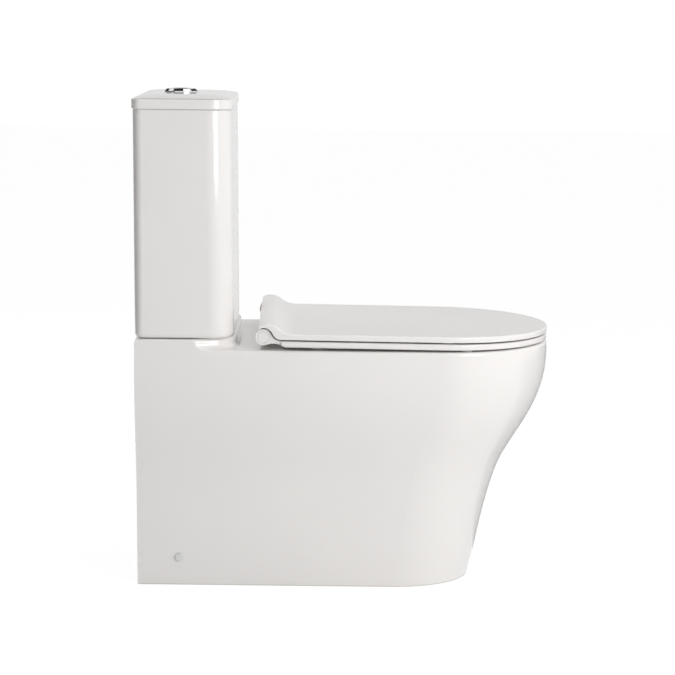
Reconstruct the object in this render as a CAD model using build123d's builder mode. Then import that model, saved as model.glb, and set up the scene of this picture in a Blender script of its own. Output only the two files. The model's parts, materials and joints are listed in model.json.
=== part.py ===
from build123d import *
import os
from math import radians, sin, sqrt

# A close coupled, back to wall toilet with a wrap-over seat, in millimetres.
# X runs across the toilet, the wall is towards +Y, the nose of the pan towards -Y, the floor is Z = 0.

os.makedirs("parts", exist_ok=True)

# Overall sizes and the gaps between pieces
overall_depth = 676.0  # nose of the seat lid to the wall
rim_height = 400.0  # bare rim above the floor
wall_y = overall_depth / 2
nose_y = -overall_depth / 2
body_gap = 0.3  # air between neighbours that don't fit into each other
running_gap = 0.06  # radial clearance of a pin in the bore that turns on it

# Pan: a round nosed outline at the rim that draws in to a smaller one at the floor
rim_half_width = 179.4
rim_nose = 179.4  # length of the rounded nose at the rim
rim_setback = 0.6  # nose of the seat lid to the nose of the rim
foot_half_width = 113.0
foot_nose = 128.0
foot_setback = 123.4  # how far the foot's nose stands behind the rim's nose
back_narrowing = 4.0  # how far each side draws in towards the wall
pan_wall_gap = 4.0  # air behind the pan
pan_wall = 13.0
deck_thickness = 20.0
rim_edge_radius = 5.0
# how far the outline has drawn in towards the foot, at even steps from the floor up to the rim
pan_tucks = (1.0, 0.927, 0.861, 0.79, 0.704, 0.585, 0.401, 0.21, 0.072, 0.004, 0.0)
pan_step = rim_height / (len(pan_tucks) - 1)
pan_back_y = wall_y - pan_wall_gap
ceiling_z = rim_height - deck_thickness

# Platform that carries the cistern, joined to the deck by a cove
platform_rise = 16.5
platform_depth = 165.0  # wall to the front of the platform
platform_thickness = 18.5
platform_flat = 146.0  # half of the straight front, before the corners slant back to the sides
platform_slant = 2.2  # how far the corners run back for each step outwards
platform_corner = 50.0
platform_round = 6.0
platform_cove = 10.0
platform_z = rim_height + platform_rise
platform_front_y = wall_y - platform_depth

# Bowl: half width, half length, how far the centre lies behind the nose, depth below the rim
bowl_centre = 212.0
bowl_wall = 11.0
bowl_levels = (
    (138.0, 168.0, 0.0, 0.0),
    (134.0, 163.0, 0.0, 50.0),
    (118.0, 141.0, 5.0, 110.0),
    (90.0, 106.0, 18.0, 175.0),
    (60.0, 70.0, 36.0, 235.0),
    (42.0, 48.0, 50.0, 295.0),
    (26.0, 30.0, 54.0, 328.0),
)
bowl_y = nose_y + bowl_centre
sump_y = bowl_y + bowl_levels[-1][2]
sump_z = rim_height - bowl_levels[-1][3]

# Trap behind the sump, and the waste outlet at the back
trap_radius = 38.0
trap_wall = 10.0
trap_bend = 55.0
outlet_radius = 51.0
outlet_bore = 43.0
outlet_height = 185.0
outlet_length = 62.0
outlet_wall_gap = 16.0  # wall to the end of the outlet
outlet_end_y = wall_y - outlet_wall_gap
trap_path = (
    (sump_y + 12, sump_z + 23),
    (sump_y + 77, sump_z + 4),
    (sump_y + 167, outlet_height + 30),
    (sump_y + 247, outlet_height),
    (outlet_end_y, outlet_height),
)

# Flush way: from the cistern's coupling forward into the back of the bowl
button_wall_distance = 68.0  # wall to the middle of the flush button and the valve under it
valve_y = wall_y - button_wall_distance
coupling_recess_radius = 48.5
coupling_recess_depth = 24.5
flush_way_wall = 11.0
flush_way_half_width = 34.0
flush_way_height = 32.0
flush_way_top = 28.0  # rim to the roof of the flush way
flush_way_z = rim_height - flush_way_top - flush_way_height

# Fixings through the pan
coupling_half_spacing = 80.0
coupling_hole_radius = 6.0
hinge_half_spacing = 77.5
hinge_hole_radius = 8.0
side_hole_radius = 6.5
side_hole_height = 48.0
side_hole_wall_distance = 73.0
side_hole_y = wall_y - side_hole_wall_distance
inlet_x = 118.0
inlet_wall_distance = 58.0
inlet_y = wall_y - inlet_wall_distance
inlet_access_radius = 21.0

# Cistern tank and its lid
cistern_gap = 1.0  # tank to platform, held open by the coupling gasket
tank_height = 360.5
tank_top_half_width = 182.0
tank_base_half_width = 174.0
tank_top_depth = 155.0
tank_base_depth = 158.0
tank_base_setback = 2.5  # base of the tank further from the wall than its top
tank_wall = 9.0
tank_floor = 12.0
tank_front_radius = 38.0
tank_back_radius = 14.0
tank_front_bow = 3.0
tank_base_round = 8.0
tank_rim_round = 2.0
lid_overhang = 2.0
cistern_lid_height = 21.7
cistern_lid_thickness = 9.0
cistern_lid_round = 8.0
cistern_lip_depth = 9.0
cistern_lip_width = 6.0
cistern_lip_gap = 2.0
tank_base_z = platform_z + cistern_gap
tank_floor_z = tank_base_z + tank_floor
tank_top_z = tank_base_z + tank_height
tank_top_back_y = wall_y - lid_overhang
tank_base_back_y = tank_top_back_y - tank_base_setback
cistern_lid_z = tank_top_z + body_gap
cistern_lid_top = cistern_lid_z + cistern_lid_height
cistern_lid_ceiling = cistern_lid_top - cistern_lid_thickness

# Two part flush button
button_radius = 22.0
button_gap = 0.6
button_split = 6.0  # split line ahead of the button's middle
button_split_radius = 40.0
button_thickness = 10.0
button_proud = 4.0
button_crown = 2.5
button_flat = 3.0  # radius of the level middle
button_edge_round = 0.8
button_tip_round = 1.2
bezel_radius = 28.0
bezel_height = 4.6
bezel_edge = 1.2
sleeve_wall = 1.5
sleeve_length = 36.0
button_nut_radius = 33.0
button_nut_height = 7.0
rod_radius = 3.0
rod_guide_gap = 0.4
full_rod_y = valve_y + 10.0
half_rod_y = valve_y - 12.0
sleeve_radius = button_radius + button_gap + sleeve_wall
button_top_z = cistern_lid_top + button_proud
button_crown_z = button_top_z + button_crown

# Flush valve
valve_flange_radius = 44.0
valve_flange = 6.0
valve_washer = 3.0
valve_tail_radius = 29.5
valve_tail_length = 22.5
valve_hole_gap = 1.5
valve_bore = 25.0
valve_seat_height = 3.0
valve_seat_width = 3.0
collar_radius = 38.0
collar_wall = 5.0
collar_height = 8.5
cage_wall = 3.2
cage_height = 174.0
cage_window_width = 32.0
cage_window_height = 56.0
cage_window_lift = 12.0
cage_top = 4.0
riser_radius = 14.0
riser_bore = 11.5
riser_gap = 0.4
riser_above_cage = 24.0
seal_radius = 30.0
seal_spigot = 16.5
seal_thickness = 5.0
seal_holder = 4.0
backnut_radius = 37.0
backnut_height = 13.5
gasket_inner = 39.5
flange_top_z = tank_floor_z + valve_washer + valve_flange
cage_base_z = flange_top_z + body_gap
cage_top_z = cage_base_z + cage_height
seat_z = flange_top_z + valve_seat_height
seal_z = seat_z + body_gap
riser_top_z = cage_top_z + riser_above_cage

# Lever bridge and the two levers that turn a push into a lift
bridge_plate = 5.0
lever_pivot_x = 20.0
lever_height = 60.0  # cage top to the lever pivots
lever_thickness = 5.0
lever_width = 9.0
lever_inner = 25.0  # pivot to the end under the push rod
lever_outer = 18.0  # pivot to the end under the hook
lever_pin_radius = 2.0
cheek_gap = 11.0
cheek_thickness = 3.5
cheek_width = 9.0
hook_thickness = 4.0
hook_width = 8.0
hook_play = 0.5
rod_play = 0.8
bridge_z = cage_top_z + body_gap
lever_z = cage_top_z + lever_height
lever_top_z = lever_z + lever_thickness / 2
hook_x = lever_pivot_x + lever_outer + hook_thickness
hook_z = lever_top_z + hook_play
rod_end_z = lever_top_z + rod_play

# Part flush float
part_float_size = 28.0
part_float_height = 50.0
part_float_drop = 30.0  # cage top to the top of the float

# Inlet valve
inlet_tail_radius = 10.4  # below the backnut, where the supply hose goes on
inlet_shank_radius = 11.0
inlet_tail_length = 32.5
inlet_hole_gap = 1.1
inlet_bore = 5.0
inlet_flange_radius = 18.0
inlet_flange = 5.0
inlet_washer_thickness = 3.0
inlet_backnut_radius = 17.0
inlet_backnut_height = 11.0
inlet_stem_radius = 11.0
inlet_stem_height = 205.0
inlet_head_radius = 19.0
inlet_head_height = 30.0
float_radius = 29.0
float_wall = 2.0
float_height = 72.0
float_stem_gap = 0.5
float_lift = 80.0  # stem flange to the bottom of the resting float
link_radius = 1.5
link_offset = 24.0
inlet_arm_pivot = 14.0
inlet_arm_height = 10.0
inlet_arm_thickness = 5.0
inlet_arm_width = 9.0
inlet_pin_radius = 1.6
inlet_flange_z = tank_floor_z + inlet_washer_thickness
inlet_stem_top = inlet_flange_z + inlet_flange + inlet_stem_height
inlet_head_top = inlet_stem_top + inlet_head_height
inlet_arm_z = inlet_head_top + inlet_arm_height
float_z = inlet_flange_z + inlet_flange + float_lift

# Coupling bolts between tank and pan
bolt_radius = 4.0
bolt_head_radius = 9.0
bolt_head_height = 5.0
bolt_length = 62.0
cone_washer_radius = 13.0
cone_washer_height = 5.0
plate_washer_radius = 14.0
plate_washer_thickness = 2.5
wing_hub_radius = 8.0
wing_nut_height = 11.0
wing_span = 19.0
wing_thickness = 3.5
platform_under_z = platform_z - platform_thickness

# Seat, seat lid and their hinges
seat_half_width = 179.5
seat_gap = 6.0  # rim to the underside of the seat, below the hinge
seat_lean = 0.5  # degrees that the seat and its lid drop towards the nose
seat_thickness = 9.8
seat_edge_round = 3.0
seat_hole_half_width = 108.0
seat_hole_half_length = 142.0
seat_hole_y = nose_y + 208.0
seat_back_gap = 28.5  # hinge axis to the back edge of the seat
hinge_wall_distance = 208.5
hinge_height = 21.5  # rim to the hinge axis
ear_radius = 12.8
ear_width = 26.0
ear_blend = 17.0
ear_inset = 4.5  # side of the lid to the ear's outer face
cheek_overlap = 1.5  # how far the ends of the lid's hump reach in past the ears
cap_radius = 9.4
cap_depth = 4.0
cap_gap = 0.1
cap_chamfer = 0.7
pin_radius = 5.0
pin_end_gap = 2.0
pin_inner_x = 61.0
lid_half_width = 180.0
lid_gap = 2.8  # seat to lid
lid_edge = 9.4  # height of the lid's edge
lid_plate = 5.0
lid_border = 10.0
lid_edge_round = 3.0
hump_radius = 27.0
hump_wall = 5.0
hump_ahead = 6.0  # centre of the hump ahead of the hinge axis
hump_below = 5.0  # centre of the hump below the hinge axis
hump_blend = 42.0
hump_inner_blend = 33.0
hump_behind = 8.0  # hinge axis to the cut back edge of the lid
knuckle_radius = 10.5
knuckle_width = 14.0
knuckle_x = 99.0
post_width = 22.0
post_eye = 11.5
post_leg_front = 10.0
post_leg_back = 4.5
post_leg_width = 15.0
plate_radius = 22.0
plate_thickness = 3.5
plate_ahead = 3.5
stud_radius = 4.0
stud_length = 44.0
bush_gap = 0.3
hinge_nut_radius = 8.0
hinge_nut_height = 7.0
buffer_length = 18.0
buffer_width = 10.0
front_buffer_inset = 20.0  # edge of the rim to the middle of the buffer
back_buffer_inset = 32.0
front_buffer_setback = 144.5  # nose of the seat to the front buffers
back_buffer_ahead = 85.0  # hinge axis to the back buffers
lid_buffer_inset = 18.0  # side of the lid to the middle of its buffers
lid_buffer_setback = 175.0
hinge_y = wall_y - hinge_wall_distance
hinge_z = rim_height + hinge_height
seat_base_z = rim_height + seat_gap
seat_top_z = seat_base_z + seat_thickness
seat_back_y = hinge_y - seat_back_gap
lid_base_z = seat_top_z + lid_gap
lid_top_z = lid_base_z + lid_edge
hinge_axis = Axis((0, hinge_y, hinge_z), (1, 0, 0))
ear_outer_x = lid_half_width - ear_inset
ear_inner_x = ear_outer_x - ear_width
pin_outer_x = ear_outer_x - cap_depth - pin_end_gap
plate_z = rim_height + body_gap
plate_y = hinge_y - plate_ahead

# Floor brackets behind the side caps
bracket_outer_x = 90.0
bracket_length = 40.0
bracket_depth = 36.0
bracket_height = 66.0
bracket_foot = 9.0
bracket_upright = 16.0
floor_screw_radius = 3.5
side_screw_radius = 3.0
side_screw_length = 38.0
side_screw_head = 5.5
side_cap_radius = 7.5
side_cap_thickness = 2.5
cap_lift = 0.6  # bare wall to the back of the cap's flange


def pan_section(height, tuck, inset, back_y):
    """Level outline of the pan: straight back, gently bowed sides, elliptical nose."""
    half_width = rim_half_width + tuck * (foot_half_width - rim_half_width) - inset
    back_half = half_width - back_narrowing
    nose = rim_nose + tuck * (foot_nose - rim_nose) - inset
    shoulder_y = nose_y + rim_setback + tuck * foot_setback + inset + nose
    handle = (back_y - shoulder_y) / 3
    with BuildSketch(Plane.XY.offset(height)) as section:
        with BuildLine():
            Line((-back_half, back_y), (back_half, back_y))
            Bezier(
                (back_half, back_y),
                (back_half, back_y - handle),
                (half_width, shoulder_y + handle),
                (half_width, shoulder_y),
            )
            EllipticalCenterArc((0, shoulder_y), half_width, nose, 0, arc_size=-180)
            Bezier(
                (-half_width, shoulder_y),
                (-half_width, shoulder_y + handle),
                (-back_half, back_y - handle),
                (-back_half, back_y),
            )
        make_face()
    return section.sketch


def bowl_section(level, wall, lowering):
    """Elliptical outline of the bowl at one level, grown by the wall for its outside."""
    half_width, half_length, shift, depth = level
    with BuildSketch(Plane.XY.offset(rim_height - depth - lowering)) as section:
        with Locations((0, bowl_y + shift)):
            Ellipse(half_width + wall, half_length + wall)
    return section.sketch


def cistern_section(height, half_width, back_y, depth, inset):
    """Outline of the cistern: bowed front, large front corners, small back corners."""
    side = half_width - inset
    front = back_y - depth + inset
    back = back_y - inset
    with BuildSketch(Plane.XY.offset(height)) as section:
        with BuildLine():
            Line((-side, back), (side, back))
            Line((side, back), (side, front + tank_front_bow))
            ThreePointArc((side, front + tank_front_bow), (0, front), (-side, front + tank_front_bow))
            Line((-side, front + tank_front_bow), (-side, back))
        make_face()
        fillet(section.vertices().group_by(Axis.Y)[0], tank_front_radius - inset)
        fillet(section.vertices().group_by(Axis.Y)[-1], max(tank_back_radius - inset, tank_rim_round))
    return section.sketch


def round_nosed_plate(height, half_width, back_y):
    """Outline of the seat and its lid: straight sides and a half round nose."""
    middle_y = nose_y + lid_half_width
    with BuildSketch(Plane.XY.offset(height)) as outline:
        with BuildLine():
            Line((-half_width, back_y), (half_width, back_y))
            Line((half_width, back_y), (half_width, middle_y))
            CenterArc((0, middle_y), half_width, 0, -180)
            Line((-half_width, middle_y), (-half_width, back_y))
        make_face()
    return outline.sketch


def blend_onto_circle(centre_y, centre_z, radius, level, blend):
    """Ends of the hollow arc that leads from a level line up onto a circle."""
    rise = level + blend - centre_z
    reach = sqrt((radius + blend) ** 2 - rise**2)
    on_line = (centre_y - reach, level)
    share = radius / (radius + blend)
    on_circle = (centre_y - reach * share, centre_z + rise * share)
    return on_line, on_circle


def edges_between(first_faces, second_faces):
    """Edges that two groups of faces share."""
    others = second_faces.edges()
    return ShapeList([edge for edge in first_faces.edges() if any(edge.is_same(other) for other in others)])


def save(builder, name, lean=0):
    """Label one piece, turn it about the seat's hinge if it leans, and write it to its own file."""
    piece = builder.part.rotate(hinge_axis, lean) if lean else builder.part
    piece.label = name
    export_step(piece, f"parts/{name}.step")


def on_ear_face(edge):
    """Whether an edge lies on the outer face of one of the seat's ears."""
    return abs(edge.center().X) > ear_outer_x - 0.1


def pair(x, y, z):
    """Two places, left and right of the toilet's middle."""
    return Locations((-x, y, z), (x, y, z))


# Everything above the floor, with the deck, the cove and the platform, wider than the pan
envelope_half_width = rim_half_width + 20
platform_side_y = platform_front_y + platform_slant * (envelope_half_width - platform_flat)
with BuildPart() as pan_envelope:
    with BuildSketch():
        with Locations((0, (nose_y - 50 + pan_back_y) / 2)):
            Rectangle(2 * envelope_half_width, pan_back_y - nose_y + 50)
    extrude(amount=rim_height)
    with BuildSketch(Plane.XY.offset(rim_height)):
        with BuildLine():
            FilletPolyline(
                (-envelope_half_width, platform_side_y),
                (-platform_flat, platform_front_y),
                (platform_flat, platform_front_y),
                (envelope_half_width, platform_side_y),
                radius=platform_corner,
            )
            Polyline(
                (envelope_half_width, platform_side_y),
                (envelope_half_width, pan_back_y),
                (-envelope_half_width, pan_back_y),
                (-envelope_half_width, platform_side_y),
            )
        make_face()
    extrude(amount=platform_rise)
    front_edges = pan_envelope.edges().filter_by_position(Axis.Y, platform_front_y - 1, pan_back_y - 60)
    cove_edges = front_edges.filter_by_position(Axis.Z, rim_height - 0.1, rim_height + 0.1)
    fillet(cove_edges, platform_cove)
    front_edges = pan_envelope.edges().filter_by_position(Axis.Y, platform_front_y - 1, pan_back_y - 60)
    fillet(front_edges.filter_by_position(Axis.Z, platform_z - 0.1, platform_z + 0.1), platform_round)

# Hollow inside the skirt, up to the underside of the deck
with BuildPart() as skirt_hollow:
    levels = [(index * pan_step, tuck) for index, tuck in enumerate(pan_tucks)]
    below_floor = (-pan_step, 2 * pan_tucks[0] - pan_tucks[1])
    loft([pan_section(height, tuck, pan_wall, wall_y) for height, tuck in [below_floor] + levels])
    split(bisect_by=Plane.XY.offset(ceiling_z), keep=Keep.BOTTOM)

# Pan: skirt, deck, platform, bowl, trap, flush way and outlet in one casting
with BuildPart() as pan:
    levels = [(index * pan_step, tuck) for index, tuck in enumerate(pan_tucks)]
    loft([pan_section(height, tuck, 0, pan_back_y) for height, tuck in levels + [(rim_height + pan_step, 0.0)]])
    add(pan_envelope.part, mode=Mode.INTERSECT)
    side_faces = pan.faces().filter_by(GeomType.BSPLINE) + pan.faces().filter_by(Axis.Y).sort_by(Axis.Y)[-1:]
    fillet(side_faces.edges().filter_by_position(Axis.Z, rim_height - 1, platform_z + 1), rim_edge_radius)
    # hollow skirt, open below and at the back
    add(skirt_hollow.part, mode=Mode.SUBTRACT)
    with BuildSketch(Plane.XY.offset(ceiling_z - 1)):
        with Locations((0, wall_y)):
            Rectangle(
                2 * (rim_half_width - back_narrowing - 2 * pan_wall),
                2 * (platform_depth - platform_round - platform_cove),
            )
    extrude(amount=platform_under_z - ceiling_z + 1, mode=Mode.SUBTRACT)
    # outsides of the bowl, the trap, the outlet and the flush way
    loft([bowl_section(level, bowl_wall, bowl_wall) for level in bowl_levels])
    with BuildLine(Plane.YZ) as trap_line:
        FilletPolyline(*trap_path, radius=trap_bend)
    with BuildSketch(Plane(trap_line.line @ 0, z_dir=trap_line.line % 0)):
        Circle(trap_radius + trap_wall)
    sweep(path=trap_line.line)
    with Locations((0, *trap_path[0])):
        Sphere(trap_radius + trap_wall)
    with BuildSketch(Plane.XZ.offset(-outlet_end_y)):
        with Locations((0, outlet_height)):
            Circle(outlet_radius)
    extrude(amount=outlet_length)
    with BuildSketch(Plane.XZ.offset(-valve_y)):
        with Locations((0, flush_way_z + flush_way_height / 2)):
            Rectangle(
                2 * (flush_way_half_width + flush_way_wall),
                flush_way_height + 2 * flush_way_wall,
            )
    extrude(amount=valve_y - bowl_y - bowl_levels[1][1])
    with BuildSketch(Plane.XY.offset(flush_way_z - flush_way_wall)):
        with Locations((0, valve_y)):
            Circle(coupling_recess_radius + flush_way_wall)
    extrude(amount=rim_height - flush_way_z + flush_way_wall)
    # insides of the same
    loft([bowl_section(level, 0, 0) for level in bowl_levels], mode=Mode.SUBTRACT)
    with BuildSketch(Plane(trap_line.line @ 0, z_dir=trap_line.line % 0)):
        Circle(trap_radius)
    sweep(path=trap_line.line, mode=Mode.SUBTRACT)
    with Locations((0, *trap_path[0])):
        Sphere(trap_radius, mode=Mode.SUBTRACT)
    with BuildSketch(Plane.XZ.offset(-outlet_end_y)):
        with Locations((0, outlet_height)):
            Circle(outlet_bore)
    extrude(amount=outlet_length, mode=Mode.SUBTRACT)
    with BuildSketch(Plane.XZ.offset(-valve_y)):
        with Locations((0, flush_way_z + flush_way_height / 2)):
            RectangleRounded(2 * flush_way_half_width, flush_way_height, flush_way_height / 4)
    extrude(amount=valve_y - bowl_y - bowl_levels[2][1], mode=Mode.SUBTRACT)
    with BuildSketch(Plane.XY.offset(flush_way_z)):
        with Locations((0, valve_y)):
            Circle(flush_way_half_width)
    extrude(amount=platform_z - flush_way_z, mode=Mode.SUBTRACT)
    with BuildSketch(Plane.XY.offset(platform_z)):
        with Locations((0, valve_y)):
            Circle(coupling_recess_radius)
    extrude(amount=-coupling_recess_depth, mode=Mode.SUBTRACT)
    # holes for the coupling bolts, the inlet, the seat and the side fixings
    with pair(coupling_half_spacing, valve_y, platform_z):
        Hole(coupling_hole_radius, platform_thickness + 1)
    with Locations((inlet_x, inlet_y, platform_z)):
        Hole(inlet_access_radius, platform_thickness + 1)
    with pair(hinge_half_spacing, plate_y, rim_height):
        Hole(hinge_hole_radius, deck_thickness + 1)
    with BuildSketch(Plane.YZ):
        with Locations((side_hole_y, side_hole_height)):
            Circle(side_hole_radius)
    extrude(amount=rim_half_width, both=True, mode=Mode.SUBTRACT)
save(pan, "pan")

# Cistern tank: walls that widen upwards, rounded base, open top
with BuildPart() as cistern_tank:
    loft(
        [
            cistern_section(tank_base_z, tank_base_half_width, tank_base_back_y, tank_base_depth, 0),
            cistern_section(tank_top_z, tank_top_half_width, tank_top_back_y, tank_top_depth, 0),
        ]
    )
    fillet(cistern_tank.edges().group_by(Axis.Z)[0], tank_base_round)
    loft(
        [
            cistern_section(tank_floor_z, tank_base_half_width, tank_base_back_y, tank_base_depth, tank_wall),
            cistern_section(tank_top_z, tank_top_half_width, tank_top_back_y, tank_top_depth, tank_wall),
        ],
        mode=Mode.SUBTRACT,
    )
    fillet(cistern_tank.edges().group_by(Axis.Z)[-1], tank_rim_round)
    with Locations((0, valve_y, tank_floor_z)):
        Hole(valve_tail_radius + valve_hole_gap, tank_floor + 1)
    with pair(coupling_half_spacing, valve_y, tank_floor_z):
        Hole(coupling_hole_radius, tank_floor + 1)
    with Locations((inlet_x, inlet_y, tank_floor_z)):
        Hole(inlet_shank_radius + inlet_hole_gap, tank_floor + 1)
save(cistern_tank, "cistern_tank")

# Cistern lid: a shallow cover with a lip that drops inside the tank
cistern_lid_half_width = tank_top_half_width + lid_overhang
cistern_lid_depth = tank_top_depth + 2 * lid_overhang
lip_inset = tank_wall + lid_overhang + cistern_lip_gap
with BuildPart() as cistern_lid:
    add(cistern_section(cistern_lid_z, cistern_lid_half_width, wall_y, cistern_lid_depth, 0))
    extrude(amount=cistern_lid_height)
    fillet(cistern_lid.edges().group_by(Axis.Z)[-1], cistern_lid_round)
    fillet(cistern_lid.edges().group_by(Axis.Z)[0], tank_rim_round)
    lip_z = cistern_lid_z - cistern_lip_depth
    add(cistern_section(lip_z, cistern_lid_half_width, wall_y, cistern_lid_depth, lip_inset))
    extrude(amount=cistern_lip_depth + 1)
    pocket_inset = lip_inset + cistern_lip_width
    add(cistern_section(lip_z, cistern_lid_half_width, wall_y, cistern_lid_depth, pocket_inset))
    extrude(amount=cistern_lid_ceiling - lip_z, mode=Mode.SUBTRACT)
    with Locations((0, valve_y, cistern_lid_top)):
        Hole(sleeve_radius + body_gap, cistern_lid_thickness + 1)
save(cistern_lid, "cistern_lid")

# Button bezel: a sloping ring on the lid with a sleeve through it and a guide plate for the rods
valve_axis = Axis((0, valve_y, 0), (0, 0, 1))
valve_plane = Plane(origin=(0, valve_y, 0), x_dir=(1, 0, 0), z_dir=(0, -1, 0))
with BuildPart() as button_bezel:
    with BuildSketch(valve_plane):
        with BuildLine():
            Polyline(
                (button_radius + button_gap, cistern_lid_top),
                (bezel_radius, cistern_lid_top),
                (bezel_radius, cistern_lid_top + bezel_edge),
                (sleeve_radius, cistern_lid_top + bezel_height),
                (button_radius + button_gap, cistern_lid_top + bezel_height),
                close=True,
            )
        make_face()
    revolve(axis=valve_axis)
    fillet(button_bezel.edges().group_by(Axis.Z)[-1], bezel_edge / 3)
    with BuildSketch(Plane.XY.offset(cistern_lid_top)):
        with Locations((0, valve_y)):
            Circle(sleeve_radius)
            Circle(button_radius + button_gap, mode=Mode.SUBTRACT)
    extrude(amount=-sleeve_length)
    with BuildSketch(Plane.XY.offset(cistern_lid_top - sleeve_length)):
        with Locations((0, valve_y)):
            Circle(sleeve_radius)
        with Locations((0, full_rod_y), (0, half_rod_y)):
            Circle(rod_radius + rod_guide_gap, mode=Mode.SUBTRACT)
    extrude(amount=-sleeve_wall)
save(button_bezel, "button_bezel")

# Clamp nut that holds the bezel to the lid from below
with BuildPart() as button_nut:
    with BuildSketch(Plane.XY.offset(cistern_lid_ceiling - body_gap)):
        with Locations((0, valve_y)):
            RegularPolygon(button_nut_radius, 8)
            Circle(sleeve_radius + body_gap, mode=Mode.SUBTRACT)
    extrude(amount=-button_nut_height)
save(button_nut, "button_nut")

# What is cut away above the two buttons, so that they share one low crown
with BuildPart() as crown_cut:
    with BuildSketch(valve_plane):
        with BuildLine():
            crown_start = (button_flat, button_crown_z)
            crown_end = (button_radius + button_gap, button_top_z)
            crown_height = button_crown_z + button_gap
            TangentArc(crown_start, crown_end, tangent=(1, 0))
            Polyline(crown_end, (crown_end[0], crown_height), (button_flat, crown_height), crown_start)
        make_face()
    revolve(axis=valve_axis)


def on_button_rim(edge):
    """Whether an edge bounds a button's crown."""
    return button_top_z - button_edge_round < edge.center().Z < button_crown_z - 0.01


# Full flush button: the larger rear part, hollowed by the curve of the split
split_y = valve_y - button_split - button_split_radius
with BuildPart() as full_flush_button:
    with BuildSketch(Plane.XY.offset(button_top_z - button_thickness)) as full_button_outline:
        with Locations((0, valve_y)):
            Circle(button_radius)
        with Locations((0, split_y)):
            Circle(button_split_radius + button_gap / 2, mode=Mode.SUBTRACT)
        fillet(full_button_outline.vertices(), button_tip_round)
    extrude(amount=button_thickness + button_crown)
    add(crown_cut.part, mode=Mode.SUBTRACT)
    fillet(full_flush_button.edges().filter_by(on_button_rim), button_edge_round)
save(full_flush_button, "full_flush_button")

# Half flush button: the smaller front part, a lens
with BuildPart() as half_flush_button:
    with BuildSketch(Plane.XY.offset(button_top_z - button_thickness)) as half_button_outline:
        with Locations((0, valve_y)):
            Circle(button_radius)
        with Locations((0, split_y)):
            Circle(button_split_radius - button_gap / 2, mode=Mode.INTERSECT)
        fillet(half_button_outline.vertices(), button_tip_round)
    extrude(amount=button_thickness + button_crown)
    add(crown_cut.part, mode=Mode.SUBTRACT)
    fillet(half_flush_button.edges().filter_by(on_button_rim), button_edge_round)
save(half_flush_button, "half_flush_button")

# Push rods with round lower ends
rod_top_z = button_top_z - button_thickness
with BuildPart() as full_flush_rod:
    with BuildSketch(Plane.XY.offset(rod_top_z)):
        with Locations((0, full_rod_y)):
            Circle(rod_radius)
    extrude(amount=rod_end_z + rod_radius - rod_top_z)
    with Locations((0, full_rod_y, rod_end_z + rod_radius)):
        Sphere(rod_radius)
save(full_flush_rod, "full_flush_rod")

with BuildPart() as half_flush_rod:
    with BuildSketch(Plane.XY.offset(rod_top_z)):
        with Locations((0, half_rod_y)):
            Circle(rod_radius)
    extrude(amount=rod_end_z + rod_radius - rod_top_z)
    with Locations((0, half_rod_y, rod_end_z + rod_radius)):
        Sphere(rod_radius)
save(half_flush_rod, "half_flush_rod")

# Flush valve base: flange on its washer, tail through the tank floor, seat and cage collar on top
valve_tail_z = tank_base_z - valve_tail_length
with BuildPart() as flush_valve_base:
    with BuildSketch(valve_plane):
        with BuildLine():
            Polyline(
                (valve_bore, valve_tail_z),
                (valve_tail_radius, valve_tail_z),
                (valve_tail_radius, flange_top_z - valve_flange),
                (valve_flange_radius, flange_top_z - valve_flange),
                (valve_flange_radius, flange_top_z),
                (collar_radius, flange_top_z),
                (collar_radius, flange_top_z + collar_height),
                (collar_radius - collar_wall, flange_top_z + collar_height),
                (collar_radius - collar_wall, flange_top_z),
                (valve_bore + valve_seat_width, flange_top_z),
                (valve_bore + valve_seat_width, seat_z),
                (valve_bore, seat_z),
                close=True,
            )
        make_face()
    revolve(axis=valve_axis)
save(flush_valve_base, "flush_valve_base")

with BuildPart() as flush_base_washer:
    with BuildSketch(Plane.XY.offset(tank_floor_z)):
        with Locations((0, valve_y)):
            Circle(valve_flange_radius)
            Circle(valve_tail_radius + body_gap, mode=Mode.SUBTRACT)
    extrude(amount=valve_washer)
save(flush_base_washer, "flush_base_washer")

with BuildPart() as flush_backnut:
    with BuildSketch(Plane.XY.offset(tank_base_z)):
        with Locations((0, valve_y)):
            RegularPolygon(backnut_radius, 8)
            Circle(valve_tail_radius + running_gap, mode=Mode.SUBTRACT)
    extrude(amount=-backnut_height)
save(flush_backnut, "flush_backnut")

with BuildPart() as coupling_gasket:
    with BuildSketch(Plane.XY.offset(tank_base_z)):
        with Locations((0, valve_y)):
            Circle(coupling_recess_radius - body_gap)
            Circle(gasket_inner, mode=Mode.SUBTRACT)
    extrude(amount=-cistern_gap - coupling_recess_depth)
    fillet(coupling_gasket.edges().group_by(Axis.Z)[0], (coupling_recess_radius - gasket_inner) / 3)
save(coupling_gasket, "coupling_gasket")

# Flush valve cage: a tube with four water windows and a guide for the riser in its top
cage_inner = collar_radius + body_gap
cage_radius = cage_inner + cage_wall
with BuildPart() as flush_valve_cage:
    with BuildSketch(Plane.XY.offset(cage_base_z)):
        with Locations((0, valve_y)):
            Circle(cage_radius)
            Circle(cage_inner, mode=Mode.SUBTRACT)
    extrude(amount=cage_height)
    with BuildSketch(Plane.XY.offset(cage_top_z)):
        with Locations((0, valve_y)):
            Circle(cage_radius)
            Circle(riser_radius + riser_gap, mode=Mode.SUBTRACT)
    extrude(amount=-cage_top)
    window_z = flange_top_z + collar_height + cage_window_lift + cage_window_height / 2
    for window_plane in (Plane.XZ.offset(-valve_y), Plane.YZ):
        with BuildSketch(window_plane):
            with Locations((valve_y if window_plane.z_dir.X else 0, window_z)):
                RectangleRounded(cage_window_width, cage_window_height, cage_wall)
        extrude(amount=cage_radius + 1, both=True, mode=Mode.SUBTRACT)
save(flush_valve_cage, "flush_valve_cage")

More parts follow.
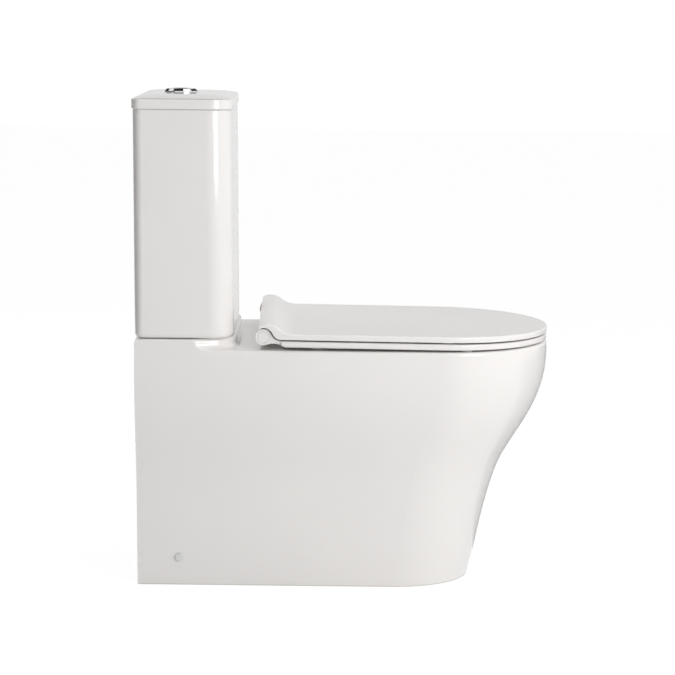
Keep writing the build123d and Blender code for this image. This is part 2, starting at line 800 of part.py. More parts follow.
# Lever bridge: plate on the cage, a pair of cheeks for each lever, a guide for the float stem
stem_x = hook_x + hook_thickness / 2
with BuildPart() as lever_bridge:
    with BuildSketch(Plane.XY.offset(bridge_z)):
        with Locations((0, valve_y)):
            Circle(cage_radius)
        with Locations((-stem_x / 2, half_rod_y)):
            Rectangle(stem_x + 2 * hook_thickness, 2 * hook_width)
        with Locations((0, valve_y)):
            Circle(riser_radius + riser_gap, mode=Mode.SUBTRACT)
        with Locations((-stem_x, half_rod_y)):
            Rectangle(hook_thickness + 2 * body_gap, hook_width + 2 * body_gap, mode=Mode.SUBTRACT)
    extrude(amount=bridge_plate)
    cheek_offset = (cheek_gap + cheek_thickness) / 2
    for side, rod_y in ((1, full_rod_y), (-1, half_rod_y)):
        with BuildSketch(Plane.XY.offset(bridge_z + bridge_plate)):
            with Locations((side * lever_pivot_x, rod_y - cheek_offset), (side * lever_pivot_x, rod_y + cheek_offset)):
                Rectangle(cheek_width, cheek_thickness)
        extrude(amount=lever_z + cheek_width / 2 - bridge_z - bridge_plate)
        with BuildSketch(Plane.XZ.offset(-rod_y)):
            with Locations((side * lever_pivot_x, lever_z)):
                Circle(lever_pin_radius + running_gap)
        extrude(amount=cheek_gap, both=True, mode=Mode.SUBTRACT)
save(lever_bridge, "lever_bridge")

with BuildPart() as lever_pins:
    for side, rod_y in ((1, full_rod_y), (-1, half_rod_y)):
        with BuildSketch(Plane.XZ.offset(-rod_y)):
            with Locations((side * lever_pivot_x, lever_z)):
                Circle(lever_pin_radius)
        extrude(amount=cheek_gap / 2 + cheek_thickness, both=True)
save(lever_pins, "lever_pins")


def lever_profile(side, rod_y):
    """Round ended bar seen along its pivot, with the pivot hole."""
    with BuildSketch(Plane.XZ.offset(-rod_y)) as profile:
        with Locations((side * (lever_pivot_x + (lever_outer - lever_inner) / 2), lever_z)):
            SlotOverall(lever_inner + lever_outer, lever_thickness)
        with Locations((side * lever_pivot_x, lever_z)):
            Circle(lever_thickness * 0.8)
            Circle(lever_pin_radius + running_gap, mode=Mode.SUBTRACT)
    return profile.sketch


with BuildPart() as full_flush_lever:
    extrude(lever_profile(1, full_rod_y), amount=lever_width / 2, both=True)
save(full_flush_lever, "full_flush_lever")

with BuildPart() as half_flush_lever:
    extrude(lever_profile(-1, half_rod_y), amount=lever_width / 2, both=True)
save(half_flush_lever, "half_flush_lever")

# Riser: overflow tube, seal holder at its foot, hook over the full flush lever
riser_arm_z = riser_top_z - 2 * hook_thickness
with BuildPart() as flush_riser:
    with BuildSketch(valve_plane):
        with BuildLine():
            Polyline(
                (riser_bore, seal_z),
                (seal_spigot, seal_z),
                (seal_spigot, seal_z + seal_thickness),
                (seal_radius, seal_z + seal_thickness),
                (seal_radius, seal_z + seal_thickness + seal_holder),
                (riser_radius, seal_z + seal_thickness + seal_holder),
                (riser_radius, riser_top_z),
                (riser_bore, riser_top_z),
                close=True,
            )
        make_face()
    revolve(axis=valve_axis)
    with BuildSketch(Plane.XZ.offset(-full_rod_y)):
        with BuildLine():
            Polyline(
                (riser_bore - 2, riser_arm_z),
                (hook_x + hook_thickness, riser_arm_z),
                (hook_x + hook_thickness, hook_z + hook_thickness),
                (hook_x - 2.5 * hook_thickness, hook_z + hook_thickness),
                (hook_x - 2.5 * hook_thickness, hook_z),
                (hook_x, hook_z),
                (hook_x, riser_arm_z + hook_thickness),
                (riser_bore - 2, riser_arm_z + hook_thickness),
                close=True,
            )
        make_face()
    extrude(amount=hook_width / 2, both=True)
    with Locations((0, valve_y, riser_top_z)):
        Hole(riser_bore, riser_top_z - seal_z)
save(flush_riser, "flush_riser")

with BuildPart() as riser_seal:
    with BuildSketch(Plane.XY.offset(seal_z)):
        with Locations((0, valve_y)):
            Circle(seal_radius)
            Circle(seal_spigot + running_gap, mode=Mode.SUBTRACT)
    extrude(amount=seal_thickness)
save(riser_seal, "riser_seal")

# Part flush float: a small box float on a stem that hooks over the half flush lever
part_float_top = cage_top_z - part_float_drop
with BuildPart() as part_flush_float:
    with BuildSketch(Plane.XY.offset(part_float_top)):
        with Locations((-hook_x - part_float_size / 2, half_rod_y)):
            RectangleRounded(part_float_size, part_float_size, hook_thickness)
    extrude(amount=-part_float_height)
    with BuildSketch(Plane.XZ.offset(-half_rod_y)):
        with BuildLine():
            Polyline(
                (-hook_x - hook_thickness, part_float_top - hook_thickness),
                (-hook_x - hook_thickness, hook_z + hook_thickness),
                (-hook_x + 2.5 * hook_thickness, hook_z + hook_thickness),
                (-hook_x + 2.5 * hook_thickness, hook_z),
                (-hook_x, hook_z),
                (-hook_x, part_float_top - hook_thickness),
                close=True,
            )
        make_face()
    extrude(amount=hook_width / 2, both=True)
save(part_flush_float, "part_flush_float")

# Inlet valve: hollow stem with a threaded tail through the tank floor
inlet_axis = Axis((inlet_x, inlet_y, 0), (0, 0, 1))
inlet_plane = Plane(origin=(inlet_x, inlet_y, 0), x_dir=(1, 0, 0), z_dir=(0, -1, 0))
with BuildPart() as inlet_valve_stem:
    with BuildSketch(inlet_plane):
        with BuildLine():
            Polyline(
                (inlet_bore, tank_base_z - inlet_tail_length),
                (inlet_tail_radius, tank_base_z - inlet_tail_length),
                (inlet_tail_radius, tank_base_z - inlet_backnut_height),
                (inlet_shank_radius, tank_base_z - inlet_backnut_height),
                (inlet_shank_radius, inlet_flange_z),
                (inlet_flange_radius, inlet_flange_z),
                (inlet_flange_radius, inlet_flange_z + inlet_flange),
                (inlet_stem_radius, inlet_flange_z + inlet_flange),
                (inlet_stem_radius, inlet_stem_top),
                (inlet_bore, inlet_stem_top),
                close=True,
            )
        make_face()
    revolve(axis=inlet_axis)
save(inlet_valve_stem, "inlet_valve_stem")

with BuildPart() as inlet_washer:
    with BuildSketch(Plane.XY.offset(tank_floor_z)):
        with Locations((inlet_x, inlet_y)):
            Circle(inlet_flange_radius - 1)
            Circle(inlet_shank_radius + body_gap, mode=Mode.SUBTRACT)
    extrude(amount=inlet_washer_thickness)
save(inlet_washer, "inlet_washer")

with BuildPart() as inlet_backnut:
    with BuildSketch(Plane.XY.offset(tank_base_z)):
        with Locations((inlet_x, inlet_y)):
            RegularPolygon(inlet_backnut_radius, 6)
            Circle(inlet_shank_radius + running_gap, mode=Mode.SUBTRACT)
    extrude(amount=-inlet_backnut_height)
save(inlet_backnut, "inlet_backnut")

# Inlet head with the two cheeks that hold the lever
inlet_pivot_x = inlet_x + inlet_arm_pivot
inlet_cheek_offset = inlet_arm_width / 2 + 1 + cheek_thickness / 2
with BuildPart() as inlet_valve_head:
    with BuildSketch(Plane.XY.offset(inlet_stem_top)):
        with Locations((inlet_x, inlet_y)):
            Circle(inlet_head_radius)
    extrude(amount=inlet_head_height)
    fillet(inlet_valve_head.edges().group_by(Axis.Z)[-1], 3)
    with BuildSketch(Plane.XY.offset(inlet_head_top)):
        with Locations((inlet_pivot_x, inlet_y - inlet_cheek_offset), (inlet_pivot_x, inlet_y + inlet_cheek_offset)):
            Rectangle(cheek_width, cheek_thickness)
    extrude(amount=inlet_arm_height + cheek_width / 2)
    with BuildSketch(Plane.XY.offset(inlet_head_top)):
        with Locations((inlet_pivot_x, inlet_y - inlet_cheek_offset), (inlet_pivot_x, inlet_y + inlet_cheek_offset)):
            Rectangle(cheek_width, cheek_thickness)
    extrude(amount=-inlet_head_height / 3)
    with BuildSketch(Plane.XZ.offset(-inlet_y)):
        with Locations((inlet_pivot_x, inlet_arm_z)):
            Circle(inlet_pin_radius + running_gap)
    extrude(amount=inlet_head_radius, both=True, mode=Mode.SUBTRACT)
save(inlet_valve_head, "inlet_valve_head")

with BuildPart() as inlet_lever_pin:
    with BuildSketch(Plane.XZ.offset(-inlet_y)):
        with Locations((inlet_pivot_x, inlet_arm_z)):
            Circle(inlet_pin_radius)
    extrude(amount=inlet_cheek_offset + cheek_thickness / 2, both=True)
save(inlet_lever_pin, "inlet_lever_pin")

# Inlet lever: a flat arm with a slot for the float's link
link_x = inlet_x - link_offset
link_arm = inlet_arm_pivot + link_offset
with BuildPart() as inlet_lever:
    with BuildSketch(Plane.XZ.offset(-inlet_y)):
        with Locations((inlet_pivot_x - link_arm / 2, inlet_arm_z)):
            SlotOverall(link_arm + 4 * inlet_arm_thickness, inlet_arm_thickness)
        with Locations((inlet_pivot_x, inlet_arm_z)):
            Circle(inlet_pin_radius + running_gap, mode=Mode.SUBTRACT)
    extrude(amount=inlet_arm_width / 2, both=True)
    with BuildSketch(Plane.XY.offset(inlet_arm_z)):
        with Locations((link_x - link_radius / 3, inlet_y)):
            SlotOverall(link_radius * 8, link_radius * 3)
    extrude(amount=inlet_arm_thickness, both=True, mode=Mode.SUBTRACT)
save(inlet_lever, "inlet_lever")

# Float: an inverted cup around the stem
float_inner = inlet_stem_radius + float_stem_gap
with BuildPart() as inlet_float:
    with BuildSketch(inlet_plane):
        with BuildLine():
            Polyline(
                (float_inner, float_z),
                (float_inner + float_wall, float_z),
                (float_inner + float_wall, float_z + float_height - float_wall),
                (float_radius - float_wall, float_z + float_height - float_wall),
                (float_radius - float_wall, float_z),
                (float_radius, float_z),
                (float_radius, float_z + float_height),
                (float_inner, float_z + float_height),
                close=True,
            )
        make_face()
    revolve(axis=inlet_axis)
save(inlet_float, "inlet_float")

# Link rod with a collar under the lever
link_collar_z = inlet_arm_z - inlet_arm_thickness / 2 - 3.5
with BuildPart() as float_link:
    with BuildSketch(Plane.XY.offset(float_z + float_height)):
        with Locations((link_x, inlet_y)):
            Circle(link_radius)
    extrude(amount=inlet_arm_z + 3 * inlet_arm_thickness - float_z - float_height)
    with BuildSketch(Plane.XY.offset(link_collar_z)):
        with Locations((link_x, inlet_y)):
            Circle(2 * link_radius)
    extrude(amount=-2)
save(float_link, "float_link")

# Coupling bolts, their washers and wing nuts
bolt_head_z = tank_floor_z + cone_washer_height
with BuildPart() as coupling_bolts:
    with pair(coupling_half_spacing, valve_y, bolt_head_z + bolt_head_height / 2):
        Cylinder(bolt_head_radius, bolt_head_height)
    with pair(coupling_half_spacing, valve_y, bolt_head_z - bolt_length / 2):
        Cylinder(bolt_radius, bolt_length)
save(coupling_bolts, "coupling_bolts")

with BuildPart() as coupling_cone_washers:
    with pair(coupling_half_spacing, valve_y, tank_floor_z + cone_washer_height / 2):
        Cone(cone_washer_radius, bolt_head_radius, cone_washer_height)
    with pair(coupling_half_spacing, valve_y, bolt_head_z):
        Hole(bolt_radius + running_gap, cone_washer_height)
save(coupling_cone_washers, "coupling_cone_washers")

with BuildPart() as coupling_plate_washers:
    with pair(coupling_half_spacing, valve_y, platform_under_z - plate_washer_thickness / 2):
        Cylinder(plate_washer_radius, plate_washer_thickness)
    with pair(coupling_half_spacing, valve_y, platform_under_z):
        Hole(bolt_radius + running_gap, plate_washer_thickness)
save(coupling_plate_washers, "coupling_plate_washers")

wing_top_z = platform_under_z - plate_washer_thickness
with BuildPart() as coupling_wing_nuts:
    with pair(coupling_half_spacing, valve_y, wing_top_z - wing_nut_height / 2):
        Cylinder(wing_hub_radius, wing_nut_height)
        Box(2 * wing_span, wing_thickness, wing_nut_height)
    wing_tips = coupling_wing_nuts.edges().filter_by(Axis.Y).group_by(Axis.Z)[0]
    fillet(wing_tips, wing_nut_height / 2)
    with pair(coupling_half_spacing, valve_y, wing_top_z):
        Hole(bolt_radius + running_gap, wing_nut_height)
save(coupling_wing_nuts, "coupling_wing_nuts")

# Seat: a slim ring with an ear on each side that turns on the hinge pin
ear_foot, ear_shoulder = blend_onto_circle(hinge_y, hinge_z, ear_radius, seat_top_z, ear_blend)
with BuildPart() as seat_ring:
    extrude(round_nosed_plate(seat_base_z, seat_half_width, seat_back_y), amount=seat_thickness)
    with BuildSketch(Plane.XY.offset(seat_base_z)):
        with Locations((0, seat_hole_y)):
            Ellipse(seat_hole_half_width, seat_hole_half_length)
    extrude(amount=seat_thickness, mode=Mode.SUBTRACT)
    level_edges = seat_ring.edges().filter_by(Axis.Z, reverse=True)
    fillet(level_edges.filter_by(Axis.X, reverse=True), seat_edge_round)
    for ear_plane in (Plane.YZ.offset(-ear_outer_x), Plane.YZ.offset(ear_inner_x)):
        with BuildSketch(ear_plane):
            with BuildLine():
                hollow = TangentArc(ear_foot, ear_shoulder, tangent=(1, 0))
                eye = TangentArc(ear_shoulder, (hinge_y, hinge_z - ear_radius), tangent=hollow % 1)
                Polyline(eye @ 1, (ear_foot[0] - ear_blend, seat_base_z), (ear_foot[0] - ear_blend, seat_top_z), ear_foot)
            make_face()
        extrude(amount=ear_width)
    for bore_plane in (Plane.YZ.offset(-ear_outer_x), Plane.YZ.offset(ear_outer_x)):
        inward = ear_width if bore_plane.origin.X < 0 else -ear_width
        with BuildSketch(bore_plane):
            with Locations((hinge_y, hinge_z)):
                Circle(pin_radius + running_gap)
        extrude(amount=inward, mode=Mode.SUBTRACT)
        with BuildSketch(bore_plane):
            with Locations((hinge_y, hinge_z)):
                Circle(cap_radius + cap_gap)
        extrude(amount=cap_depth * inward / ear_width, mode=Mode.SUBTRACT)
    recess_edges = seat_ring.edges().filter_by(GeomType.CIRCLE)
    recess_edges = recess_edges.filter_by(lambda edge: abs(edge.radius - cap_radius - cap_gap) < 0.01)
    chamfer(recess_edges.filter_by(on_ear_face), cap_chamfer)
save(seat_ring, "seat_ring", seat_lean)

with BuildPart() as hinge_caps:
    for cap_plane, outward in ((Plane.YZ.offset(-ear_outer_x), 1), (Plane.YZ.offset(ear_outer_x), -1)):
        with BuildSketch(cap_plane):
            with Locations((hinge_y, hinge_z)):
                Circle(cap_radius)
        extrude(amount=outward * (cap_depth - cap_gap))
    chamfer(hinge_caps.edges().filter_by(GeomType.CIRCLE).filter_by(on_ear_face), cap_chamfer)
save(hinge_caps, "hinge_caps")

# Seat buffers: each fills the gap that the leaning seat leaves over the rim at its place
front_buffer_y = nose_y + front_buffer_setback
back_buffer_y = hinge_y - back_buffer_ahead
with BuildPart() as seat_buffers:
    for buffer_inset, buffer_y in ((front_buffer_inset, front_buffer_y), (back_buffer_inset, back_buffer_y)):
        with BuildSketch(Plane.XY.offset(seat_base_z)):
            with pair(rim_half_width - buffer_inset, buffer_y, 0):
                SlotOverall(buffer_length, buffer_width, rotation=90)
        buffer_drop = (hinge_y - buffer_y + buffer_length / 2) * sin(radians(seat_lean))
        extrude(amount=buffer_drop + body_gap - seat_gap)
save(seat_buffers, "seat_buffers", seat_lean)

# Seat lid: a shallow cover whose back rises over the hinge
hump_y = hinge_y - hump_ahead
hump_z = hinge_z - hump_below
lid_back_y = hinge_y + hump_behind
hump_inner_radius = hump_radius - hump_wall
knuckle_web = hump_z + hump_inner_radius - hinge_z
cheek_width = lid_half_width - ear_inner_x + cheek_overlap
cheek_radius = ear_radius + lid_gap
upper_foot, upper_shoulder = blend_onto_circle(hump_y, hump_z, hump_radius, lid_top_z, hump_blend)
lower_foot, lower_shoulder = blend_onto_circle(hump_y, hump_z, hump_inner_radius, lid_base_z, hump_inner_blend)
upper_back = (lid_back_y, hump_z + sqrt(hump_radius**2 - (lid_back_y - hump_y) ** 2))
lower_back = (lid_back_y, hump_z + sqrt(hump_inner_radius**2 - (lid_back_y - hump_y) ** 2))
cheek_foot, cheek_shoulder = blend_onto_circle(hinge_y, hinge_z, cheek_radius, lid_base_z, ear_blend - lid_gap)
cheek_back = (lid_back_y, hinge_z + sqrt(cheek_radius**2 - hump_behind**2))
with BuildPart() as seat_lid:
    with BuildSketch(Plane.YZ):
        with BuildLine():
            upper_hollow = TangentArc(upper_foot, upper_shoulder, tangent=(1, 0))
            TangentArc(upper_shoulder, upper_back, tangent=upper_hollow % 1)
            lower_hollow = TangentArc(lower_foot, lower_shoulder, tangent=(1, 0))
            TangentArc(lower_shoulder, lower_back, tangent=lower_hollow % 1)
            Line(upper_back, lower_back)
            Polyline(lower_foot, (nose_y - 5, lid_base_z), (nose_y - 5, lid_top_z), upper_foot)
        make_face()
    extrude(amount=lid_half_width + 5, both=True)
    # the hump's ends come down close over the ears of the seat
    for cheek_plane in (Plane.YZ.offset(-lid_half_width), Plane.YZ.offset(lid_half_width - cheek_width)):
        with BuildSketch(cheek_plane):
            with BuildLine():
                cheek_rise = TangentArc(upper_foot, upper_shoulder, tangent=(1, 0))
                TangentArc(upper_shoulder, upper_back, tangent=cheek_rise % 1)
                cheek_hollow = TangentArc(cheek_foot, cheek_shoulder, tangent=(1, 0))
                TangentArc(cheek_shoulder, cheek_back, tangent=cheek_hollow % 1)
                Line(upper_back, cheek_back)
                cheek_front_y = min(upper_foot[0], cheek_foot[0]) - ear_blend
                Line(cheek_foot, (cheek_front_y, lid_base_z))
                Line((cheek_front_y, lid_base_z), (cheek_front_y, lid_top_z))
                Line((cheek_front_y, lid_top_z), upper_foot)
            make_face()
        extrude(amount=cheek_width)
    extrude(round_nosed_plate(rim_height, lid_half_width, lid_back_y), amount=100, mode=Mode.INTERSECT)
    nose_face = seat_lid.faces().filter_by(lambda face: face.geom_type == GeomType.CYLINDER and face.radius > 100)
    side_faces = seat_lid.faces().filter_by(Axis.X) + nose_face
    upper_faces = seat_lid.faces().filter_by(lambda face: face.normal_at().Z > 0.2)
    fillet(edges_between(side_faces, upper_faces), lid_edge_round)
    with BuildSketch(Plane.XY.offset(lid_base_z)):
        add(round_nosed_plate(0, lid_half_width - lid_border, lower_foot[0] - 5))
    extrude(amount=lid_edge - lid_plate, mode=Mode.SUBTRACT)
    for knuckle_plane in (Plane.YZ.offset(-knuckle_x), Plane.YZ.offset(knuckle_x)):
        with BuildSketch(knuckle_plane):
            with Locations((hinge_y, hinge_z)):
                Circle(knuckle_radius)
            with Locations((hinge_y, hinge_z + knuckle_web / 2)):
                Rectangle(knuckle_radius * 1.4, knuckle_web)
            with Locations((hinge_y, hinge_z)):
                Circle(pin_radius + running_gap, mode=Mode.SUBTRACT)
        extrude(amount=knuckle_width / 2, both=True)
save(seat_lid, "seat_lid", seat_lean)

with BuildPart() as lid_buffers:
    with BuildSketch(Plane.XY.offset(seat_top_z + body_gap)):
        with pair(lid_half_width - lid_buffer_inset, nose_y + lid_buffer_setback, 0):
            SlotOverall(buffer_length, buffer_width, rotation=90)
    extrude(amount=lid_top_z - lid_plate - seat_top_z - body_gap)
save(lid_buffers, "lid_buffers", seat_lean)

# Hinge posts on round base plates, with the pins that the seat and the lid turn on
with BuildPart() as hinge_posts:
    for side in (-1, 1):
        with BuildSketch(Plane.YZ.offset(side * hinge_half_spacing)):
            with Locations((hinge_y, hinge_z)):
                Circle(post_eye)
        extrude(amount=post_width / 2, both=True)
        with BuildSketch(Plane.XY.offset(plate_z + plate_thickness)):
            with Locations((side * hinge_half_spacing, hinge_y + (post_leg_back - post_leg_front) / 2)):
                RectangleRounded(post_leg_width, post_leg_front + post_leg_back, 3)
        extrude(amount=hinge_z - plate_z - plate_thickness)
        with BuildSketch(Plane.YZ.offset(side * hinge_half_spacing)):
            with Locations((hinge_y, hinge_z)):
                Circle(pin_radius + running_gap)
        extrude(amount=post_width, both=True, mode=Mode.SUBTRACT)
save(hinge_posts, "hinge_posts")

with BuildPart() as hinge_plates:
    with pair(hinge_half_spacing, plate_y, plate_z + plate_thickness / 2):
        Cylinder(plate_radius, plate_thickness)
    fillet(hinge_plates.edges().group_by(Axis.Z)[-1], plate_thickness / 3)
    with pair(hinge_half_spacing, plate_y, plate_z + plate_thickness):
        Hole(stud_radius + running_gap, plate_thickness)
save(hinge_plates, "hinge_plates")

with BuildPart() as hinge_pins:
    for pin_plane, reach in ((Plane.YZ.offset(-pin_outer_x), 1), (Plane.YZ.offset(pin_outer_x), -1)):
        with BuildSketch(pin_plane):
            with Locations((hinge_y, hinge_z)):
                Circle(pin_radius)
        extrude(amount=reach * (pin_outer_x - pin_inner_x))
save(hinge_pins, "hinge_pins")

stud_top_z = plate_z + plate_thickness
with BuildPart() as hinge_studs:
    with pair(hinge_half_spacing, plate_y, stud_top_z - stud_length / 2):
        Cylinder(stud_radius, stud_length)
save(hinge_studs, "hinge_studs")

bush_length = deck_thickness + 6
with BuildPart() as hinge_bushes:
    with pair(hinge_half_spacing, plate_y, rim_height - bush_length / 2):
        Cylinder(hinge_hole_radius - bush_gap, bush_length)
    with pair(hinge_half_spacing, plate_y, rim_height):
        Hole(stud_radius + running_gap, bush_length)
save(hinge_bushes, "hinge_bushes")

with BuildPart() as hinge_nuts:
    with BuildSketch(Plane.XY.offset(rim_height - bush_length)):
        with pair(hinge_half_spacing, plate_y, 0):
            RegularPolygon(hinge_nut_radius, 6)
            Circle(stud_radius + running_gap, mode=Mode.SUBTRACT)
    extrude(amount=-hinge_nut_height)
save(hinge_nuts, "hinge_nuts")

# Floor brackets inside the skirt: a foot for the floor screw, an upright for the side screw
bracket_foot_x = bracket_outer_x - bracket_length / 2
bracket_upright_x = bracket_outer_x - bracket_upright / 2
with BuildPart() as floor_brackets:
    with pair(bracket_foot_x, side_hole_y, bracket_foot / 2):
        Box(bracket_length, bracket_depth, bracket_foot)
    with pair(bracket_upright_x, side_hole_y, bracket_height / 2):
        Box(bracket_upright, bracket_depth, bracket_height)
    fillet(floor_brackets.edges().filter_by(Axis.X).group_by(Axis.Z)[-1], bracket_upright / 2)
    with pair(bracket_outer_x - bracket_length + 11, side_hole_y, bracket_foot):
        Hole(floor_screw_radius, bracket_foot)
    with BuildSketch(Plane.YZ):
        with Locations((side_hole_y, side_hole_height)):
            Circle(side_screw_radius + running_gap)
    extrude(amount=rim_half_width, both=True, mode=Mode.SUBTRACT)
save(floor_brackets, "floor_brackets")

# Side screws from the skirt into the brackets, and the caps that cover them
wall_lean = (pan_tucks[0] - pan_tucks[1]) * (rim_half_width - foot_half_width) / pan_step
side_wall_x = foot_half_width + wall_lean * side_hole_height - back_narrowing
screw_head_x = side_wall_x - pan_wall / 2
with BuildPart() as side_screws:
    for side in (-1, 1):
        with BuildSketch(Plane.YZ.offset(side * screw_head_x)):
            with Locations((side_hole_y, side_hole_height)):
                Circle(side_screw_head)
        extrude(amount=-side * 3)
        with BuildSketch(Plane.YZ.offset(side * screw_head_x)):
            with Locations((side_hole_y, side_hole_height)):
                Circle(side_screw_radius)
        extrude(amount=-side * side_screw_length)
save(side_screws, "side_screws")

with BuildPart() as side_caps:
    for side in (-1, 1):
        cap_face = Plane(
            origin=(side * (side_wall_x + cap_lift), side_hole_y, side_hole_height),
            x_dir=(0, 1, 0),
            z_dir=(side, 0, -wall_lean),
        )
        with BuildSketch(cap_face):
            Circle(side_cap_radius)
        extrude(amount=side_cap_thickness)
        with BuildSketch(cap_face):
            Circle(side_hole_radius - 2 * body_gap)
        extrude(amount=-pan_wall / 3)
    cap_rims = side_caps.edges().filter_by(GeomType.CIRCLE).sort_by(Axis.X)
    fillet([cap_rims[0], cap_rims[-1]], side_cap_thickness / 2)
save(side_caps, "side_caps")
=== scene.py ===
"""Looks of a close coupled, back to wall toilet with a wrap-over seat.

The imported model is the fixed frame. The threaded fastenings, the cistern lid, the seat and the
hinges' posts and plates are modelled here in the places of their nodes, the other nodes keep their
meshes, and every piece gets its finish. All sizes are in metres: X runs across, the wall is towards
+Y, the floor is Z = 0.
"""

import json
import logging
import math
from collections.abc import Callable
from dataclasses import dataclass, field
from enum import Enum

import bpy
from mathutils import Matrix, Vector


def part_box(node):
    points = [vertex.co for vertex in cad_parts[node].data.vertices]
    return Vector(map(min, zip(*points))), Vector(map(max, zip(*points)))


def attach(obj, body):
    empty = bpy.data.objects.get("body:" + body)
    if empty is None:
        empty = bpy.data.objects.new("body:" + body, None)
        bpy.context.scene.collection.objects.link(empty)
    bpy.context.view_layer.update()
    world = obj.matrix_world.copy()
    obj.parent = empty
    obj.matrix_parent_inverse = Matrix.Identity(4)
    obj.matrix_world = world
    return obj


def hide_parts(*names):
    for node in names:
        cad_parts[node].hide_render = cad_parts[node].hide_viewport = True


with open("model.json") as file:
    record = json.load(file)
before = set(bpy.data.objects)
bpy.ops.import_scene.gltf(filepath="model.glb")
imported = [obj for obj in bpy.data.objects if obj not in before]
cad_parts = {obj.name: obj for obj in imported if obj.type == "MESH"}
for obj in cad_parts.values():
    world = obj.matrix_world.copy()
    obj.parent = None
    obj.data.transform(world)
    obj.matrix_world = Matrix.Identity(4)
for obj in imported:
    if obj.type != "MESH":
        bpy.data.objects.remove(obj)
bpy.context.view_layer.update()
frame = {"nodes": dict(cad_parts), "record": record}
LOG = logging.getLogger("toilet")

Pair = tuple[float, float]
Triple = tuple[float, float, float]
Colour = Triple
Piece = bpy.types.Object
Socket = bpy.types.NodeSocket
Tree = bpy.types.NodeTree

# A Mix node's sockets for colours, and a Map Range node's sockets for its two ranges.
MIX_SHARE, MIX_FIRST, MIX_SECOND, MIX_RESULT = 0, 6, 7, 2
RANGE_SOCKETS = ("From Min", "From Max", "To Min", "To Max")

SMOOTH_ANGLE = math.radians(35.0)
MERGE_DISTANCE = 0.000005
EDGE_STEPS = 4

QUARTER_TURN = math.pi / 2
UNTURNED = (0.0, 0.0, 0.0)
LYING_ALONG_X = (0.0, QUARTER_TURN, 0.0)
FACING_X = (QUARTER_TURN, 0.0, QUARTER_TURN)
FACING_Y = (QUARTER_TURN, 0.0, 0.0)


def clear_tree(owner: bpy.types.Material | bpy.types.World, kind: str) -> tuple[Tree, Socket]:
    """Empty the node tree of a material or of the world, and give it an output.

    Args:
        owner: Material or world.
        kind: Kind of its output node.

    Returns:
        The tree, and the socket that takes the surface.
    """
    owner.use_nodes = True
    tree = owner.node_tree
    tree.nodes.clear()
    return tree, tree.nodes.new(kind).inputs["Surface"]


def set_range(node: bpy.types.Node, ends: Pair, results: Pair) -> None:
    """Set the two ranges of a Map Range node."""
    for name, number in zip(RANGE_SOCKETS, (*ends, *results)):
        node.inputs[name].default_value = number


class Bench:
    """A material's node tree with short calls for the nodes that the finishes share."""

    def __init__(self, name: str) -> None:
        """Start an empty material.

        Args:
            name: Name of the material.
        """
        self.material = bpy.data.materials.new(name)
        self.tree, surface = clear_tree(self.material, "ShaderNodeOutputMaterial")
        self.shader = self.tree.nodes.new("ShaderNodeBsdfPrincipled")
        self.link(self.shader.outputs[0], surface)
        self.place = self.tree.nodes.new("ShaderNodeTexCoord").outputs["Object"]

    def link(self, start: Socket, end: Socket) -> None:
        """Join two sockets."""
        self.tree.links.new(start, end)

    def set(self, name: str, value: float) -> None:
        """Set one of the shader's own sockets."""
        self.shader.inputs[name].default_value = value

    def feed(self, name: str, value: Socket) -> None:
        """Lead a value into one of the shader's sockets."""
        self.link(value, self.shader.inputs[name])

    def stretched(self, scale: Triple) -> Socket:
        """Object coordinates, scaled along each axis.

        Args:
            scale: Factor on each axis.

        Returns:
            The scaled coordinates.
        """
        node = self.tree.nodes.new("ShaderNodeMapping")
        node.inputs["Scale"].default_value = scale
        self.link(self.place, node.inputs["Vector"])
        return node.outputs[0]

    def noise(self, size: float, octaves: float = 2.0, along: Socket | None = None) -> Socket:
        """Noise whose features are about one size.

        Args:
            size: Feature size in metres.
            octaves: Number of finer octaves.
            along: Coordinates to use instead of plain object coordinates.

        Returns:
            The noise value, from 0 to 1.
        """
        node = self.tree.nodes.new("ShaderNodeTexNoise")
        node.inputs["Scale"].default_value = 1.0 / size
        node.inputs["Detail"].default_value = octaves
        self.link(along or self.place, node.inputs["Vector"])
        return node.outputs[0]

    def spread(self, value: Socket, low: float, high: float, ends: Pair = (0.3, 0.7)) -> Socket:
        """Map a value onto a range, clamped at its ends.

        Args:
            value: Value to map.
            low: Result at the lower end.
            high: Result at the upper end.
            ends: Values that give low and high.

        Returns:
            The mapped value.
        """
        node = self.tree.nodes.new("ShaderNodeMapRange")
        self.link(value, node.inputs["Value"])
        set_range(node, ends, (low, high))
        return node.outputs["Result"]

    def mix(self, share: Socket, first: Colour | Socket, second: Colour) -> Socket:
        """Mix two colours.

        Args:
            share: Share of the second colour.
            first: First colour.
            second: Second colour.

        Returns:
            The mixed colour.
        """
        node = self.tree.nodes.new("ShaderNodeMix")
        node.data_type = "RGBA"
        self.link(share, node.inputs[MIX_SHARE])
        if isinstance(first, tuple):
            node.inputs[MIX_FIRST].default_value = (*first, 1.0)
        else:
            self.link(first, node.inputs[MIX_FIRST])
        node.inputs[MIX_SECOND].default_value = (*second, 1.0)
        return node.outputs[MIX_RESULT]

    def height(self) -> Socket:
        """Height above the floor.

        Returns:
            The height in metres.
        """
        node = self.tree.nodes.new("ShaderNodeSeparateXYZ")
        self.link(self.place, node.inputs[0])
        return node.outputs["Z"]

    def bump(self, value: Socket, depth: float, under: Socket | None = None) -> Socket:
        """Relief from a value.

        Args:
            value: Height, from 0 to 1.
            depth: Depth in metres of a height of 1.
            under: A coarser relief to add this one to.

        Returns:
            The bent normal.
        """
        node = self.tree.nodes.new("ShaderNodeBump")
        node.inputs["Strength"].default_value = 1.0
        node.inputs["Distance"].default_value = depth
        self.link(value, node.inputs["Height"])
        if under is not None:
            self.link(under, node.inputs["Normal"])
        return node.outputs[0]


